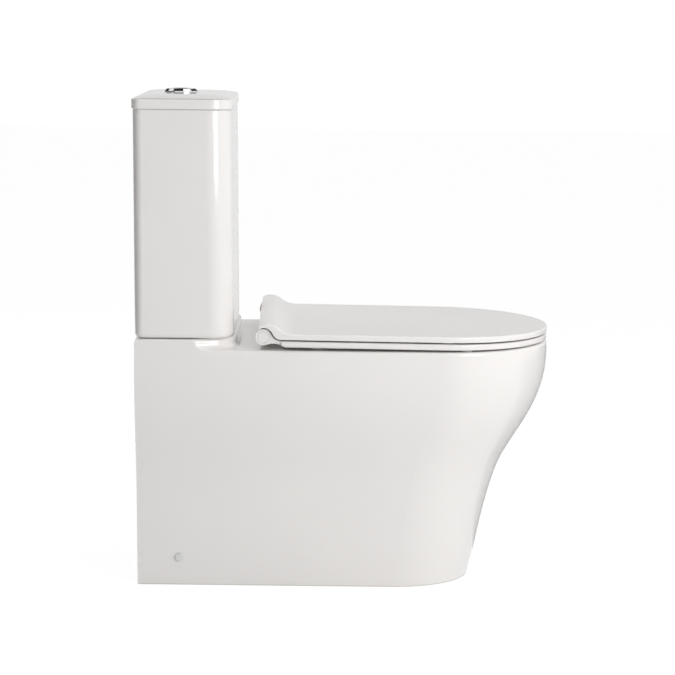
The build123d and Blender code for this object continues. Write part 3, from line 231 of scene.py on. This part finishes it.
@dataclass(frozen=True)
class Glaze:
    """Gloss white glaze on fired clay, bare of glaze under the foot."""

    name: str
    colour: Colour = (0.84, 0.818, 0.802)
    cloud: Colour = (0.825, 0.804, 0.789)
    bisque: Colour = (0.62, 0.585, 0.53)
    index: float = 1.52
    octaves: float = 3.0
    cloud_size: float = 0.16
    bare_height: float = 0.0012
    bare_fade: float = 0.0004
    gloss: Pair = (0.07, 0.13)
    gloss_size: float = 0.05
    relief_octaves: float = 1.0
    wave_size: float = 0.035
    wave_depth: float = 0.00016
    peel_size: float = 0.0035
    peel_depth: float = 0.000012

    def make(self) -> bpy.types.Material:
        """Build the material.

        Returns:
            The finished material.
        """
        bench = Bench(self.name)
        bench.set("IOR", self.index)
        clouds = bench.spread(bench.noise(self.cloud_size, self.octaves), 0.0, 1.0)
        glazed = bench.mix(clouds, self.colour, self.cloud)
        fade = (self.bare_height, self.bare_height + self.bare_fade)
        bare = bench.spread(bench.height(), 1.0, 0.0, fade)
        bench.feed("Base Color", bench.mix(bare, glazed, self.bisque))
        patches = bench.noise(self.gloss_size, self.octaves)
        bench.feed("Roughness", bench.spread(patches, *self.gloss))
        waves = bench.bump(bench.noise(self.wave_size, self.relief_octaves), self.wave_depth)
        peel = bench.bump(bench.noise(self.peel_size, self.relief_octaves), self.peel_depth, waves)
        bench.feed("Normal", peel)
        return bench.material


@dataclass(frozen=True)
class Moulding:
    """Moulded plastic or rubber: an even colour with a faint flow pattern and a fine skin."""

    name: str
    colour: Colour
    flow: Colour
    gloss: Pair
    grain: float = 0.0008
    relief: float = 0.00001
    index: float = 1.5
    flow_size: float = 0.03
    flow_octaves: float = 3.0
    flow_stretch: Triple = (1.0, 0.35, 1.0)
    gloss_size: float = 0.012
    gloss_octaves: float = 4.0

    def make(self) -> bpy.types.Material:
        """Build the material.

        Returns:
            The finished material.
        """
        bench = Bench(self.name)
        bench.set("IOR", self.index)
        along = bench.stretched(self.flow_stretch)
        streaks = bench.spread(bench.noise(self.flow_size, self.flow_octaves, along), 0.0, 1.0)
        bench.feed("Base Color", bench.mix(streaks, self.colour, self.flow))
        patches = bench.noise(self.gloss_size, self.gloss_octaves)
        bench.feed("Roughness", bench.spread(patches, *self.gloss))
        bench.feed("Normal", bench.bump(bench.noise(self.grain), self.relief))
        return bench.material


@dataclass(frozen=True)
class Metal:
    """Bare or plated metal, with fine marks along one axis."""

    name: str
    colour: Colour
    dull: Colour
    gloss: Pair
    marks: Triple = (1.0, 1.0, 1.0)
    mark_size: float = 0.004
    mark_octaves: float = 4.0
    dull_size: float = 0.02
    relief: float = 0.000004

    def make(self) -> bpy.types.Material:
        """Build the material.

        Returns:
            The finished material.
        """
        bench = Bench(self.name)
        bench.set("Metallic", 1.0)
        marks = bench.noise(self.mark_size, self.mark_octaves, bench.stretched(self.marks))
        dulled = bench.spread(bench.noise(self.dull_size), 0.0, 1.0)
        bench.feed("Base Color", bench.mix(dulled, self.colour, self.dull))
        bench.feed("Roughness", bench.spread(marks, *self.gloss))
        bench.feed("Normal", bench.bump(marks, self.relief))
        return bench.material


class Slot(Enum):
    """The record's material slots, each with its finish: name, two colours, range of roughness."""

    CHINA = Glaze("china")
    SEAT = Moulding(
        "seat_white",
        (0.83, 0.808, 0.794),
        (0.822, 0.801, 0.788),
        (0.1, 0.14),
        grain=0.002,
        relief=0.000003,
    )
    BUFFER = Moulding(
        "buffer_white", (0.74, 0.74, 0.725), (0.7, 0.7, 0.69), (0.42, 0.55), relief=0.00002
    )
    CAP = Moulding("cap_white", (0.74, 0.74, 0.73), (0.72, 0.72, 0.715), (0.24, 0.34))
    CHROME = Metal("chrome", (0.78, 0.79, 0.8), (0.74, 0.75, 0.765), (0.04, 0.1))
    VALVE_WHITE = Moulding(
        "valve_white", (0.74, 0.75, 0.74), (0.69, 0.7, 0.69), (0.34, 0.48), relief=0.00002
    )
    VALVE_BLUE = Moulding(
        "valve_blue", (0.09, 0.2, 0.39), (0.075, 0.175, 0.35), (0.34, 0.48), relief=0.00002
    )
    VALVE_GREY = Moulding(
        "valve_grey", (0.15, 0.155, 0.16), (0.125, 0.13, 0.135), (0.38, 0.52), relief=0.00002
    )
    RUBBER = Moulding(
        "rubber_black",
        (0.018, 0.018, 0.019),
        (0.026, 0.026, 0.027),
        (0.55, 0.75),
        grain=0.0006,
        relief=0.00003,
    )
    STEEL = Metal(
        "steel",
        (0.6, 0.605, 0.61),
        (0.52, 0.525, 0.53),
        (0.2, 0.38),
        marks=(1.0, 1.0, 14.0),
        mark_size=0.01,
    )


class Dressing:
    """Gives each piece the finish of its node's slot in the record."""

    def __init__(self) -> None:
        """Make one material for each slot, and look up each node's slot."""
        self.materials = {slot.value.name: slot.value.make() for slot in Slot}
        self.slots = {part["node"]: part["material_slot"] for part in frame["record"]["subparts"]}

    def dress(self, piece: Piece, slot_name: str) -> None:
        """Put one finish on a piece."""
        piece.data.materials.clear()
        piece.data.materials.append(self.materials[slot_name])

    def dress_nodes(self) -> None:
        """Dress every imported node."""
        for node, slot_name in self.slots.items():
            self.dress(frame["nodes"][node], slot_name)
            LOG.info("dressed %s as %s", node, slot_name)


class Pick(Enum):
    """What is picked in edit mode: Blender's word for it, and the mesh's list of it."""

    EDGES = ("EDGE", "edges")
    FACES = ("FACE", "polygons")


class Hand:
    """The moves that the pieces modelled here share."""

    @staticmethod
    def take(piece: Piece) -> None:
        """Make one piece the only selected and the active object.

        Args:
            piece: Piece to work on.
        """
        bpy.ops.object.select_all(action="DESELECT")
        piece.select_set(True)
        bpy.context.view_layer.objects.active = piece

    @staticmethod
    def edit_all(piece: Piece) -> None:
        """Enter edit mode with the whole of one piece selected.

        Args:
            piece: Piece to work on.
        """
        Hand.take(piece)
        bpy.ops.object.mode_set(mode="EDIT")
        bpy.ops.mesh.select_all(action="SELECT")

    @staticmethod
    def edit_some(piece: Piece, pick: Pick, test: Callable[[Vector], bool]) -> None:
        """Enter edit mode with some edges or faces selected.

        Args:
            piece: Piece to work on.
            pick: Edges or faces.
            test: Whether a corner is in the right place, which all of them must be.
        """
        word, listed = pick.value
        Hand.take(piece)
        bpy.ops.object.mode_set(mode="EDIT")
        bpy.ops.mesh.select_mode(type=word)
        bpy.ops.mesh.select_all(action="DESELECT")
        bpy.ops.object.mode_set(mode="OBJECT")
        points = piece.data.vertices
        for item in getattr(piece.data, listed):
            item.select = all(test(points[index].co) for index in item.vertices)
        bpy.ops.object.mode_set(mode="EDIT")

    @staticmethod
    def cylinder(
        sides: int, radius: float, length: float, place: Triple, turn: Triple = UNTURNED
    ) -> Piece:
        """Add a cylinder, from which a shape is made or with which one is cut.

        Args:
            sides: Number of its sides.
            radius: Its radius.
            length: Its length.
            place: Its middle.
            turn: Turn about each axis.

        Returns:
            The cylinder.
        """
        bpy.ops.object.select_all(action="DESELECT")
        bpy.ops.mesh.primitive_cylinder_add(
            vertices=sides, radius=radius, depth=length, location=place, rotation=turn
        )
        return bpy.context.object

    @staticmethod
    def disc(sides: int, radius: float, height: float, place: Triple, edge_round: float) -> Piece:
        """Model a disc with a rounded upper edge.

        Args:
            sides: Number of its sides.
            radius: Its radius.
            height: Its height.
            place: Its middle.
            edge_round: Radius of its upper edge.

        Returns:
            The disc.
        """
        disc = Hand.cylinder(sides, radius, height, place)
        bpy.ops.object.transform_apply(location=True, rotation=True, scale=True)
        Hand.edit_some(disc, Pick.EDGES, lambda point: point.z > place[2])
        bpy.ops.mesh.bevel(offset=edge_round, segments=EDGE_STEPS, affect="EDGES")
        bpy.ops.object.mode_set(mode="OBJECT")
        return disc

    @staticmethod
    def cut(piece: Piece, cutter: Piece) -> None:
        """Cut one shape out of a piece.

        Args:
            piece: Piece to cut.
            cutter: Shape to take away, which is used up.
        """
        Hand.take(cutter)
        bpy.ops.object.transform_apply(location=True, rotation=True, scale=True)
        Hand.take(piece)
        taken = piece.modifiers.new("cut", "BOOLEAN")
        taken.object = cutter
        taken.solver = "EXACT"
        bpy.ops.object.modifier_apply(modifier="cut")
        bpy.data.objects.remove(cutter)

    @staticmethod
    def join(first: Piece, second: Piece) -> Piece:
        """Join two shapes into one piece.

        Args:
            first: Shape that gives its name.
            second: Shape that is taken in.

        Returns:
            The joined piece.
        """
        Hand.take(first)
        second.select_set(True)
        bpy.ops.object.join()
        return first

    @staticmethod
    def twin(piece: Piece, name: str, shift: float) -> Piece:
        """Copy a piece to the other side of the toilet, with a mesh of its own.

        Args:
            piece: Piece to copy.
            name: Name of the copy.
            shift: How far the copy stands along X.

        Returns:
            The copy.
        """
        Hand.take(piece)
        bpy.ops.object.duplicate(linked=False)
        copy = bpy.context.object
        copy.name = copy.data.name = name
        Hand.edit_all(copy)
        bpy.ops.transform.translate(value=(shift, 0.0, 0.0))
        bpy.ops.object.mode_set(mode="OBJECT")
        return copy

    @staticmethod
    def copy_node(node: str, name: str) -> Piece:
        """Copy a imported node's mesh into a new piece and merge its loose triangles.

        Args:
            node: Node to copy.
            name: Name of the new piece.

        Returns:
            The new piece.
        """
        piece = bpy.data.objects.new(name, frame["nodes"][node].data.copy())
        bpy.context.scene.collection.objects.link(piece)
        Hand.edit_all(piece)
        bpy.ops.mesh.remove_doubles(threshold=MERGE_DISTANCE)
        bpy.ops.object.mode_set(mode="OBJECT")
        return piece

    @staticmethod
    def finish(piece: Piece, node: str, dressing: Dressing, body: str = "toilet_body") -> None:
        """Smooth a piece, dress it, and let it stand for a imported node.

        Args:
            piece: Finished piece.
            node: Node that it stands for.
            dressing: Finishes by slot.
            body: Body that it moves with.
        """
        Hand.take(piece)
        bpy.ops.object.shade_smooth_by_angle(angle=SMOOTH_ANGLE)
        slot_name = dressing.slots[node]
        dressing.dress(piece, slot_name)
        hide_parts(node)
        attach(piece, body)
        LOG.info("modelled %s for %s", piece.name, node)

    @staticmethod
    def even_flats(piece: Piece) -> None:
        """Keep a smoothed piece's large flats evenly shaded.

        Args:
            piece: Finished piece.
        """
        Hand.take(piece)
        flats = piece.modifiers.new("flats", "WEIGHTED_NORMAL")
        flats.keep_sharp = True
        bpy.ops.object.modifier_apply(modifier="flats")


@dataclass
class Thread:
    """A screw thread that is cut off square at both ends.

    The profile of one turn is drawn in strides: outwards in depths, upwards in pitches.
    """

    crest: float
    depth: float
    pitch: float
    steps: int = 24
    profile: tuple[Pair, ...] = ((0.0, 0.12), (1.0, 0.32), (0.0, 0.12), (-1.0, 0.32), (0.0, 0.12))
    turns_below: int = 2
    spare_turns: int = 3
    merge_part: int = 50

    def build(self, name: str, axis: Pair, low: float, high: float) -> Piece:
        """Model the thread.

        Args:
            name: Name of the piece.
            axis: X and Y of its axis.
            low: Height of its lower end.
            high: Height of its upper end.

        Returns:
            The threaded rod.
        """
        rod = self.draw_turn(name, low - self.turns_below * self.pitch)
        turns = rod.modifiers.new("turns", "SCREW")
        turns.axis = "Z"
        turns.screw_offset = self.pitch
        turns.iterations = math.ceil((high - low) / self.pitch) + self.spare_turns
        turns.steps = turns.render_steps = self.steps
        bpy.ops.object.modifier_apply(modifier="turns")
        Hand.edit_all(rod)
        bpy.ops.mesh.remove_doubles(threshold=self.depth / self.merge_part)
        upwards = (0.0, 0.0, 1.0)
        bpy.ops.mesh.bisect(
            plane_co=(0.0, 0.0, low), plane_no=upwards, clear_inner=True, use_fill=True
        )
        bpy.ops.mesh.select_all(action="SELECT")
        bpy.ops.mesh.bisect(
            plane_co=(0.0, 0.0, high), plane_no=upwards, clear_outer=True, use_fill=True
        )
        bpy.ops.mesh.select_all(action="SELECT")
        bpy.ops.mesh.normals_make_consistent(inside=False)
        bpy.ops.transform.translate(value=(*axis, 0.0))
        bpy.ops.object.mode_set(mode="OBJECT")
        return rod

    def draw_turn(self, name: str, start: float) -> Piece:
        """Draw the profile of one turn, point by point.

        Args:
            name: Name of the piece.
            start: Height of its first point.

        Returns:
            The profile.
        """
        bpy.ops.object.select_all(action="DESELECT")
        bpy.ops.mesh.primitive_plane_add(size=self.pitch)
        rod = bpy.context.object
        rod.name = rod.data.name = name
        Hand.edit_all(rod)
        bpy.ops.mesh.select_mode(type="VERT")
        bpy.ops.mesh.merge(type="CENTER")
        bpy.ops.transform.translate(value=(self.crest - self.depth, 0.0, start))
        for out, up in self.profile:
            stride = (out * self.depth, 0.0, up * self.pitch)
            bpy.ops.mesh.extrude_region_move(TRANSFORM_OT_translate={"value": stride})
        bpy.ops.object.mode_set(mode="OBJECT")
        return rod


@dataclass
class CouplingBolts:
    """The two slotted bolts that hold the cistern to the pan."""

    node: str = "coupling_bolts"
    head_radius: float = 0.009
    head_height: float = 0.005
    head_round: float = 0.0018
    head_sides: int = 48
    slot_width: float = 0.0016
    slot_depth: float = 0.0021
    thread: Thread = field(default_factory=lambda: Thread(0.00396, 0.0008, 0.0017))

    def build(self, dressing: Dressing) -> None:
        """Model one bolt, copy it, and dress both.

        Args:
            dressing: Finishes by slot.
        """
        low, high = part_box(self.node)
        x, y = low[0] + self.head_radius, (low[1] + high[1]) / 2
        neck = high[2] - self.head_height
        bolt = self.thread.build("coupling_bolt_left", (x, y), low[2], neck)
        bolt = Hand.join(bolt, self.head(x, y, high[2]))
        shift = high[0] - low[0] - 2 * self.head_radius
        for piece in (bolt, Hand.twin(bolt, "coupling_bolt_right", shift)):
            Hand.finish(piece, self.node, dressing)

    def head(self, x: float, y: float, top: float) -> Piece:
        """Model a round head with a slot for a screwdriver.

        Args:
            x: Place of its axis along X.
            y: Place of its axis along Y.
            top: Height of its top.

        Returns:
            The head.
        """
        middle = (x, y, top - self.head_height / 2)
        head = Hand.disc(
            self.head_sides, self.head_radius, self.head_height, middle, self.head_round
        )
        bpy.ops.object.select_all(action="DESELECT")
        bpy.ops.mesh.primitive_cube_add(size=1.0, location=(x, y, top))
        # The blade is longer than the head is wide, and half of it stands above the top.
        blade = bpy.context.object
        blade.scale = (self.slot_width, 3 * self.head_radius, 2 * self.slot_depth)
        Hand.cut(head, blade)
        return head


@dataclass
class HingeStuds:
    """The two threaded studs that hold the seat's hinges to the deck."""

    node: str = "hinge_studs"
    thread: Thread = field(default_factory=lambda: Thread(0.00396, 0.0007, 0.00125))

    def build(self, dressing: Dressing) -> None:
        """Model one stud, copy it, and dress both.

        Args:
            dressing: Finishes by slot.
        """
        low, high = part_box(self.node)
        radius = (high[1] - low[1]) / 2
        axis = (low[0] + radius, low[1] + radius)
        stud = self.thread.build("hinge_stud_left", axis, low[2], high[2])
        shift = high[0] - low[0] - 2 * radius
        for piece in (stud, Hand.twin(stud, "hinge_stud_right", shift)):
            Hand.finish(piece, self.node, dressing)


@dataclass
class InletStem:
    """The inlet valve's stem, with the thread that the supply hose goes on."""

    node: str = "inlet_valve_stem"
    tail: float = 0.0215
    bore: float = 0.005
    bore_sides: int = 40
    thread: Thread = field(default_factory=lambda: Thread(0.0104, 0.00116, 0.001814, 40))

    def build(self, dressing: Dressing) -> None:
        """Cut the plain tail off the stem and put a threaded one in its place.

        Args:
            dressing: Finishes by slot.
        """
        low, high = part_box(self.node)
        x, y = (low[0] + high[0]) / 2, (low[1] + high[1]) / 2
        joint = low[2] + self.tail
        stem = Hand.copy_node(self.node, "inlet_stem")
        Hand.edit_all(stem)
        bpy.ops.mesh.bisect(
            plane_co=(0.0, 0.0, joint), plane_no=(0.0, 0.0, 1.0), clear_inner=True, use_fill=False
        )
        bpy.ops.object.mode_set(mode="OBJECT")
        tail = self.thread.build("inlet_tail", (x, y), low[2], joint)
        # The bore's cutter reaches well past both ends of the tail.
        Hand.cut(tail, Hand.cylinder(self.bore_sides, self.bore, 4 * self.tail, (x, y, low[2])))
        Hand.finish(Hand.join(stem, tail), self.node, dressing)


@dataclass
class CisternLid:
    """The cistern's loose lid, whose top falls a little towards its edges."""

    node: str = "cistern_lid"
    body: str = "cistern_cover"
    wall_top: float = 0.008
    wall_slack: float = 0.0003
    edge_round: float = 0.002
    round_steps: int = 6
    fall: float = 0.006
    fall_power: float = 4.0
    rings: tuple[float, ...] = (0.965, 0.94, 0.9, 0.85, 0.79, 0.72, 0.63, 0.52)
    ring_slack: float = 0.00002

    def build(self, dressing: Dressing) -> None:
        """Take the level top off a copy of the node and raise a crowned one in its place.

        Args:
            dressing: Finishes by slot.
        """
        low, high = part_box(self.node)
        top = high[2]
        wall = top - self.wall_top
        lid = Hand.copy_node(self.node, "crowned_cistern_lid")
        Hand.edit_some(lid, Pick.FACES, lambda point: point.z > wall - self.wall_slack)
        bpy.ops.mesh.delete(type="FACE")
        bpy.ops.object.mode_set(mode="OBJECT")
        Hand.edit_some(lid, Pick.EDGES, lambda point: abs(point.z - wall) < self.wall_slack)
        last_ring = top - self.raise_rings(low, high)
        bpy.ops.object.mode_set(mode="OBJECT")
        ends = (last_ring, top)
        Hand.edit_some(
            lid,
            Pick.EDGES,
            lambda point: any(abs(point.z - end) < self.ring_slack for end in ends),
        )
        bpy.ops.mesh.bridge_edge_loops()
        bpy.ops.mesh.select_all(action="SELECT")
        bpy.ops.mesh.normals_make_consistent(inside=False)
        bpy.ops.object.mode_set(mode="OBJECT")
        Hand.finish(lid, self.node, dressing, self.body)
        Hand.even_flats(lid)

    def raise_rings(self, low: Triple, high: Triple) -> float:
        """Extrude the selected rim of the wall ring by ring.

        Args:
            low: Lowest corner of the lid.
            high: Highest corner of the lid.

        Returns:
            Depth of the last ring below the lid's top.
        """
        middle = ((low[0] + high[0]) / 2, (low[1] + high[1]) / 2)
        half = ((high[0] - low[0]) / 2, (high[1] - low[1]) / 2)
        share, depth = (1.0, 1.0), self.wall_top
        for inset, drop in self.profile(half):
            rise = (0.0, 0.0, depth - drop)
            bpy.ops.mesh.extrude_region_move(TRANSFORM_OT_translate={"value": rise})
            ratio = (inset[0] / share[0], inset[1] / share[1], 1.0)
            bpy.ops.transform.resize(value=ratio, center_override=(*middle, high[2]))
            share, depth = inset, drop
        return depth

    def profile(self, half: Pair) -> list[tuple[Pair, float]]:
        """Rings of the new top, from the wall inwards.

        Args:
            half: Half of the lid's width and of its depth.

        Returns:
            For each ring, its share of the outline along X and Y, and its depth below the top.
        """
        edge = []
        for step in range(1, self.round_steps + 1):
            turn = step / self.round_steps * math.pi / 2
            inset = self.edge_round * (1.0 - math.cos(turn))
            drop = self.wall_top - self.edge_round * math.sin(turn)
            edge.append((tuple(1.0 - inset / side for side in half), drop))
        crown = [((share, share), self.fall * share**self.fall_power) for share in self.rings]
        return edge + crown


@dataclass
class HingePosts:
    """The two hinge posts, flat behind, so that the lid hides them from the side."""

    node: str = "hinge_posts"
    flat_depth: float = 0.003

    def build(self, dressing: Dressing) -> None:
        """Cut the backs of the eyes off a copy of the node.

        Args:
            dressing: Finishes by slot.
        """
        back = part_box(self.node)[1][1] - self.flat_depth
        posts = Hand.copy_node(self.node, "flat_backed_posts")
        Hand.edit_all(posts)
        bpy.ops.mesh.bisect(
            plane_co=(0.0, back, 0.0), plane_no=(0.0, 1.0, 0.0), clear_outer=True, use_fill=True
        )
        bpy.ops.object.mode_set(mode="OBJECT")
        Hand.finish(posts, self.node, dressing)
        Hand.even_flats(posts)


@dataclass
class HingePlates:
    """The two round plates under the hinge posts, no wider than the seat's ears hide."""

    node: str = "hinge_plates"
    radius: float = 0.015
    edge_round: float = 0.0012
    sides: int = 64
    bore: float = 0.00406
    bore_sides: int = 48

    def build(self, dressing: Dressing) -> None:
        """Model one plate, copy it, and dress both.

        Args:
            dressing: Finishes by slot.
        """
        low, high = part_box(self.node)
        reach, height = (high[1] - low[1]) / 2, high[2] - low[2]
        place = (low[0] + reach, low[1] + reach, (low[2] + high[2]) / 2)
        plate = Hand.disc(self.sides, self.radius, height, place, self.edge_round)
        plate.name = plate.data.name = "hinge_plate_left"
        # The bore's cutter stands out above and below the plate.
        Hand.cut(plate, Hand.cylinder(self.bore_sides, self.bore, 3 * height, place))
        shift = high[0] - low[0] - 2 * reach
        for piece in (plate, Hand.twin(plate, "hinge_plate_right", shift)):
            Hand.finish(piece, self.node, dressing)


@dataclass
class SeatRing:
    """The seat, with a hollow under each hinge ear."""

    node: str = "seat_ring"
    body: str = "seat"
    ear_inner: float = 0.152
    ear_outer: float = 0.182
    hollow_radius: float = 0.0325
    hollow_axis: Pair = (0.1136, 0.3789)
    hollow_sides: int = 192

    def build(self, dressing: Dressing) -> None:
        """Cut the hollows out of a copy of the node.

        Args:
            dressing: Finishes by slot.
        """
        seat = Hand.copy_node(self.node, "hollow_eared_seat")
        width = self.ear_outer - self.ear_inner
        for side in (-1.0, 1.0):
            place = (side * (self.ear_inner + self.ear_outer) / 2, *self.hollow_axis)
            cutter = Hand.cylinder(
                self.hollow_sides, self.hollow_radius, width, place, LYING_ALONG_X
            )
            Hand.cut(seat, cutter)
        Hand.finish(seat, self.node, dressing, self.body)
        Hand.even_flats(seat)


class Card(Enum):
    """Grey cards around the object: place, turn, width and height, brightness."""

    SIDE_CARD = ((2.6, 0.0, 0.75), FACING_X, (5.0, 2.0), 0.78)
    UPPER_CARD = ((2.6, 0.0, 3.6), FACING_X, (5.0, 3.7), 0.03)
    FLOOR_CARD = ((1.3, -1.4, 0.004), UNTURNED, (2.4, 2.3), 0.36)
    WALL_CARD = ((0.0, 2.5, 1.0), FACING_Y, (5.2, 2.5), 0.1)
    CEILING_CARD = ((0.25, 0.58, 2.6), UNTURNED, (1.1, 1.04), 0.02)

    def __init__(self, place: Triple, turn: Triple, size: Pair, glow: float) -> None:
        """Keep the card's values.

        Args:
            place: Centre of the card.
            turn: Turn about X, Y and Z.
            size: Width and height.
            glow: Brightness, where 1 is white.
        """
        self.place, self.turn, self.size, self.glow = place, turn, size, glow


class Lamp(Enum):
    """Softboxes: place, target, width and height, power, and whether gloss shows them."""

    KEY_SOFTBOX = ((-1.75, -1.2, 1.06), (0.0, 0.0, 0.7), (0.75, 1.3), 24.0, True)
    TOP_SOFTBOX = ((-0.4, -0.5, 2.9), (0.0, 0.0, 0.3), (2.2, 2.2), 16.0, True)
    BACK_SOFTBOX = ((1.75, 2.1, 1.2), (0.0, 0.2, 0.5), (1.2, 1.4), 22.0, False)

    def __init__(
        self, place: Triple, target: Triple, size: Pair, power: float, mirrored: bool
    ) -> None:
        """Keep the lamp's values.

        Args:
            place: Where it stands.
            target: What it points at.
            size: Width and height.
            power: Power in watts.
            mirrored: Whether gloss shows it.
        """
        self.place, self.target, self.size = place, target, size
        self.power, self.mirrored = power, mirrored


@dataclass
class Studio:
    """Pale floor, white surround, cards, soft lamps, and the camera at the photograph's place."""

    camera_place: Triple = (-3.4485, 0.06975, 0.9227)
    yaw: float = 0.998
    pitch: float = 8.688
    roll: float = 0.739
    lens: float = 111.76
    sensor: float = 36.0
    clip_end: float = 100.0
    floor_half: float = 14.0
    floor_drop: float = 0.0002
    floor_colour: Colour = (0.86, 0.86, 0.86)
    floor_glow: float = 1.06
    floor_glow_share: float = 0.9
    front_glow: float = 0.585
    wall_glow: float = 0.17

    def build(self) -> None:
        """Make the floor, the surround, the cards, the lamps and the camera."""
        bpy.context.scene.view_settings.view_transform = "Standard"
        self.make_floor()
        self.make_surround()
        for card in Card:
            self.make_card(card)
        for lamp in Lamp:
            self.make_lamp(lamp)
        self.make_camera()

    def seen_directly(self, tree: Tree) -> Socket:
        """Whether a ray comes from the camera, or by way of gloss or glass.

        Args:
            tree: Node tree to add to.

        Returns:
            1 for such a ray.
        """
        path = tree.nodes.new("ShaderNodeLightPath")
        first = tree.nodes.new("ShaderNodeMath")
        second = tree.nodes.new("ShaderNodeMath")
        first.operation = second.operation = "MAXIMUM"
        tree.links.new(path.outputs["Is Camera Ray"], first.inputs[0])
        tree.links.new(path.outputs["Is Glossy Ray"], first.inputs[1])
        tree.links.new(first.outputs[0], second.inputs[0])
        tree.links.new(path.outputs["Is Transmission Ray"], second.inputs[1])
        return second.outputs[0]

    def make_floor(self) -> None:
        """Make the pale floor, which keeps the shadow."""
        bpy.ops.object.select_all(action="DESELECT")
        place = (0.0, 0.0, -self.floor_drop)
        bpy.ops.mesh.primitive_plane_add(size=2 * self.floor_half, location=place)
        floor = bpy.context.object
        floor.name = "studio_floor"
        material = bpy.data.materials.new(floor.name)
        tree, surface = clear_tree(material, "ShaderNodeOutputMaterial")
        paper = tree.nodes.new("ShaderNodeBsdfDiffuse")
        paper.inputs["Color"].default_value = (*self.floor_colour, 1.0)
        white = tree.nodes.new("ShaderNodeEmission")
        white.inputs["Strength"].default_value = self.floor_glow
        share = tree.nodes.new("ShaderNodeMath")
        share.operation = "MULTIPLY"
        share.inputs[1].default_value = self.floor_glow_share
        tree.links.new(self.seen_directly(tree), share.inputs[0])
        mix = tree.nodes.new("ShaderNodeMixShader")
        tree.links.new(share.outputs[0], mix.inputs[0])
        tree.links.new(paper.outputs[0], mix.inputs[1])
        tree.links.new(white.outputs[0], mix.inputs[2])
        tree.links.new(mix.outputs[0], surface)
        floor.data.materials.append(material)

    def make_surround(self) -> None:
        """Make the world: white to the eye and to gloss, softer as light."""
        world = bpy.data.worlds.new("studio_surround")
        bpy.context.scene.world = world
        tree, surface = clear_tree(world, "ShaderNodeOutputWorld")
        glow = tree.nodes.new("ShaderNodeBackground")
        glow.inputs["Color"].default_value = (1.0, 1.0, 1.0, 1.0)
        aim = tree.nodes.new("ShaderNodeTexCoord")
        split = tree.nodes.new("ShaderNodeSeparateXYZ")
        tree.links.new(aim.outputs["Generated"], split.inputs[0])
        lit = tree.nodes.new("ShaderNodeMapRange")
        set_range(lit, (-1.0, 1.0), (self.front_glow, self.wall_glow))
        tree.links.new(split.outputs["Y"], lit.inputs["Value"])
        strength = tree.nodes.new("ShaderNodeMapRange")
        strength.inputs["To Max"].default_value = 1.0
        tree.links.new(lit.outputs["Result"], strength.inputs["To Min"])
        tree.links.new(self.seen_directly(tree), strength.inputs["Value"])
        tree.links.new(strength.outputs["Result"], glow.inputs["Strength"])
        tree.links.new(glow.outputs[0], surface)

    def make_card(self, card: Card) -> None:
        """Make one card, which only gloss sees.

        Args:
            card: The card to make.
        """
        bpy.ops.object.select_all(action="DESELECT")
        bpy.ops.mesh.primitive_plane_add(size=1.0, location=card.place, rotation=card.turn)
        board = bpy.context.object
        board.name = f"studio_{card.name.lower()}"
        board.scale = (*card.size, 1.0)
        material = bpy.data.materials.new(board.name)
        tree, surface = clear_tree(material, "ShaderNodeOutputMaterial")
        grey = tree.nodes.new("ShaderNodeEmission")
        grey.inputs["Strength"].default_value = card.glow
        tree.links.new(grey.outputs[0], surface)
        board.data.materials.append(material)
        board.visible_camera = board.visible_diffuse = False
        board.visible_shadow = board.visible_transmission = False

    def make_lamp(self, lamp: Lamp) -> None:
        """Make one softbox.

        Args:
            lamp: The lamp to make.
        """
        name = lamp.name.lower()
        light = bpy.data.lights.new(name, "AREA")
        light.shape = "RECTANGLE"
        light.size, light.size_y = lamp.size
        light.energy = lamp.power
        stand = bpy.data.objects.new(name, light)
        bpy.context.scene.collection.objects.link(stand)
        stand.visible_glossy = lamp.mirrored
        stand.location = lamp.place
        aim = Vector(lamp.target) - Vector(lamp.place)
        stand.rotation_euler = aim.to_track_quat("-Z", "Y").to_euler()

    def make_camera(self) -> None:
        """Make the camera at the photograph's place and angle."""
        yaw, pitch, roll = (math.radians(turn) for turn in (self.yaw, self.pitch, self.roll))
        ahead = math.cos(pitch)
        forward = Vector((math.cos(yaw) * ahead, -math.sin(yaw) * ahead, -math.sin(pitch)))
        level = Vector((-math.sin(yaw), -math.cos(yaw), 0.0))
        upright = level.cross(forward)
        right = level * math.cos(roll) + upright * math.sin(roll)
        up = upright * math.cos(roll) - level * math.sin(roll)
        data = bpy.data.cameras.new("photo_camera")
        data.lens = self.lens
        data.sensor_width = self.sensor
        data.clip_end = self.clip_end
        camera = bpy.data.objects.new("photo_camera", data)
        bpy.context.scene.collection.objects.link(camera)
        turn = Matrix((right, up, -forward)).transposed().to_4x4()
        camera.matrix_world = Matrix.Translation(self.camera_place) @ turn
        bpy.context.scene.camera = camera


def main() -> None:
    """Build the looks in order."""
    logging.basicConfig(level=logging.INFO, format="%(message)s")
    dressing = Dressing()
    dressing.dress_nodes()
    for piece in (
        CouplingBolts(),
        HingeStuds(),
        InletStem(),
        CisternLid(),
        HingePosts(),
        HingePlates(),
        SeatRing(),
    ):
        piece.build(dressing)
    Studio().build()


if __name__ == "__main__":
    main()
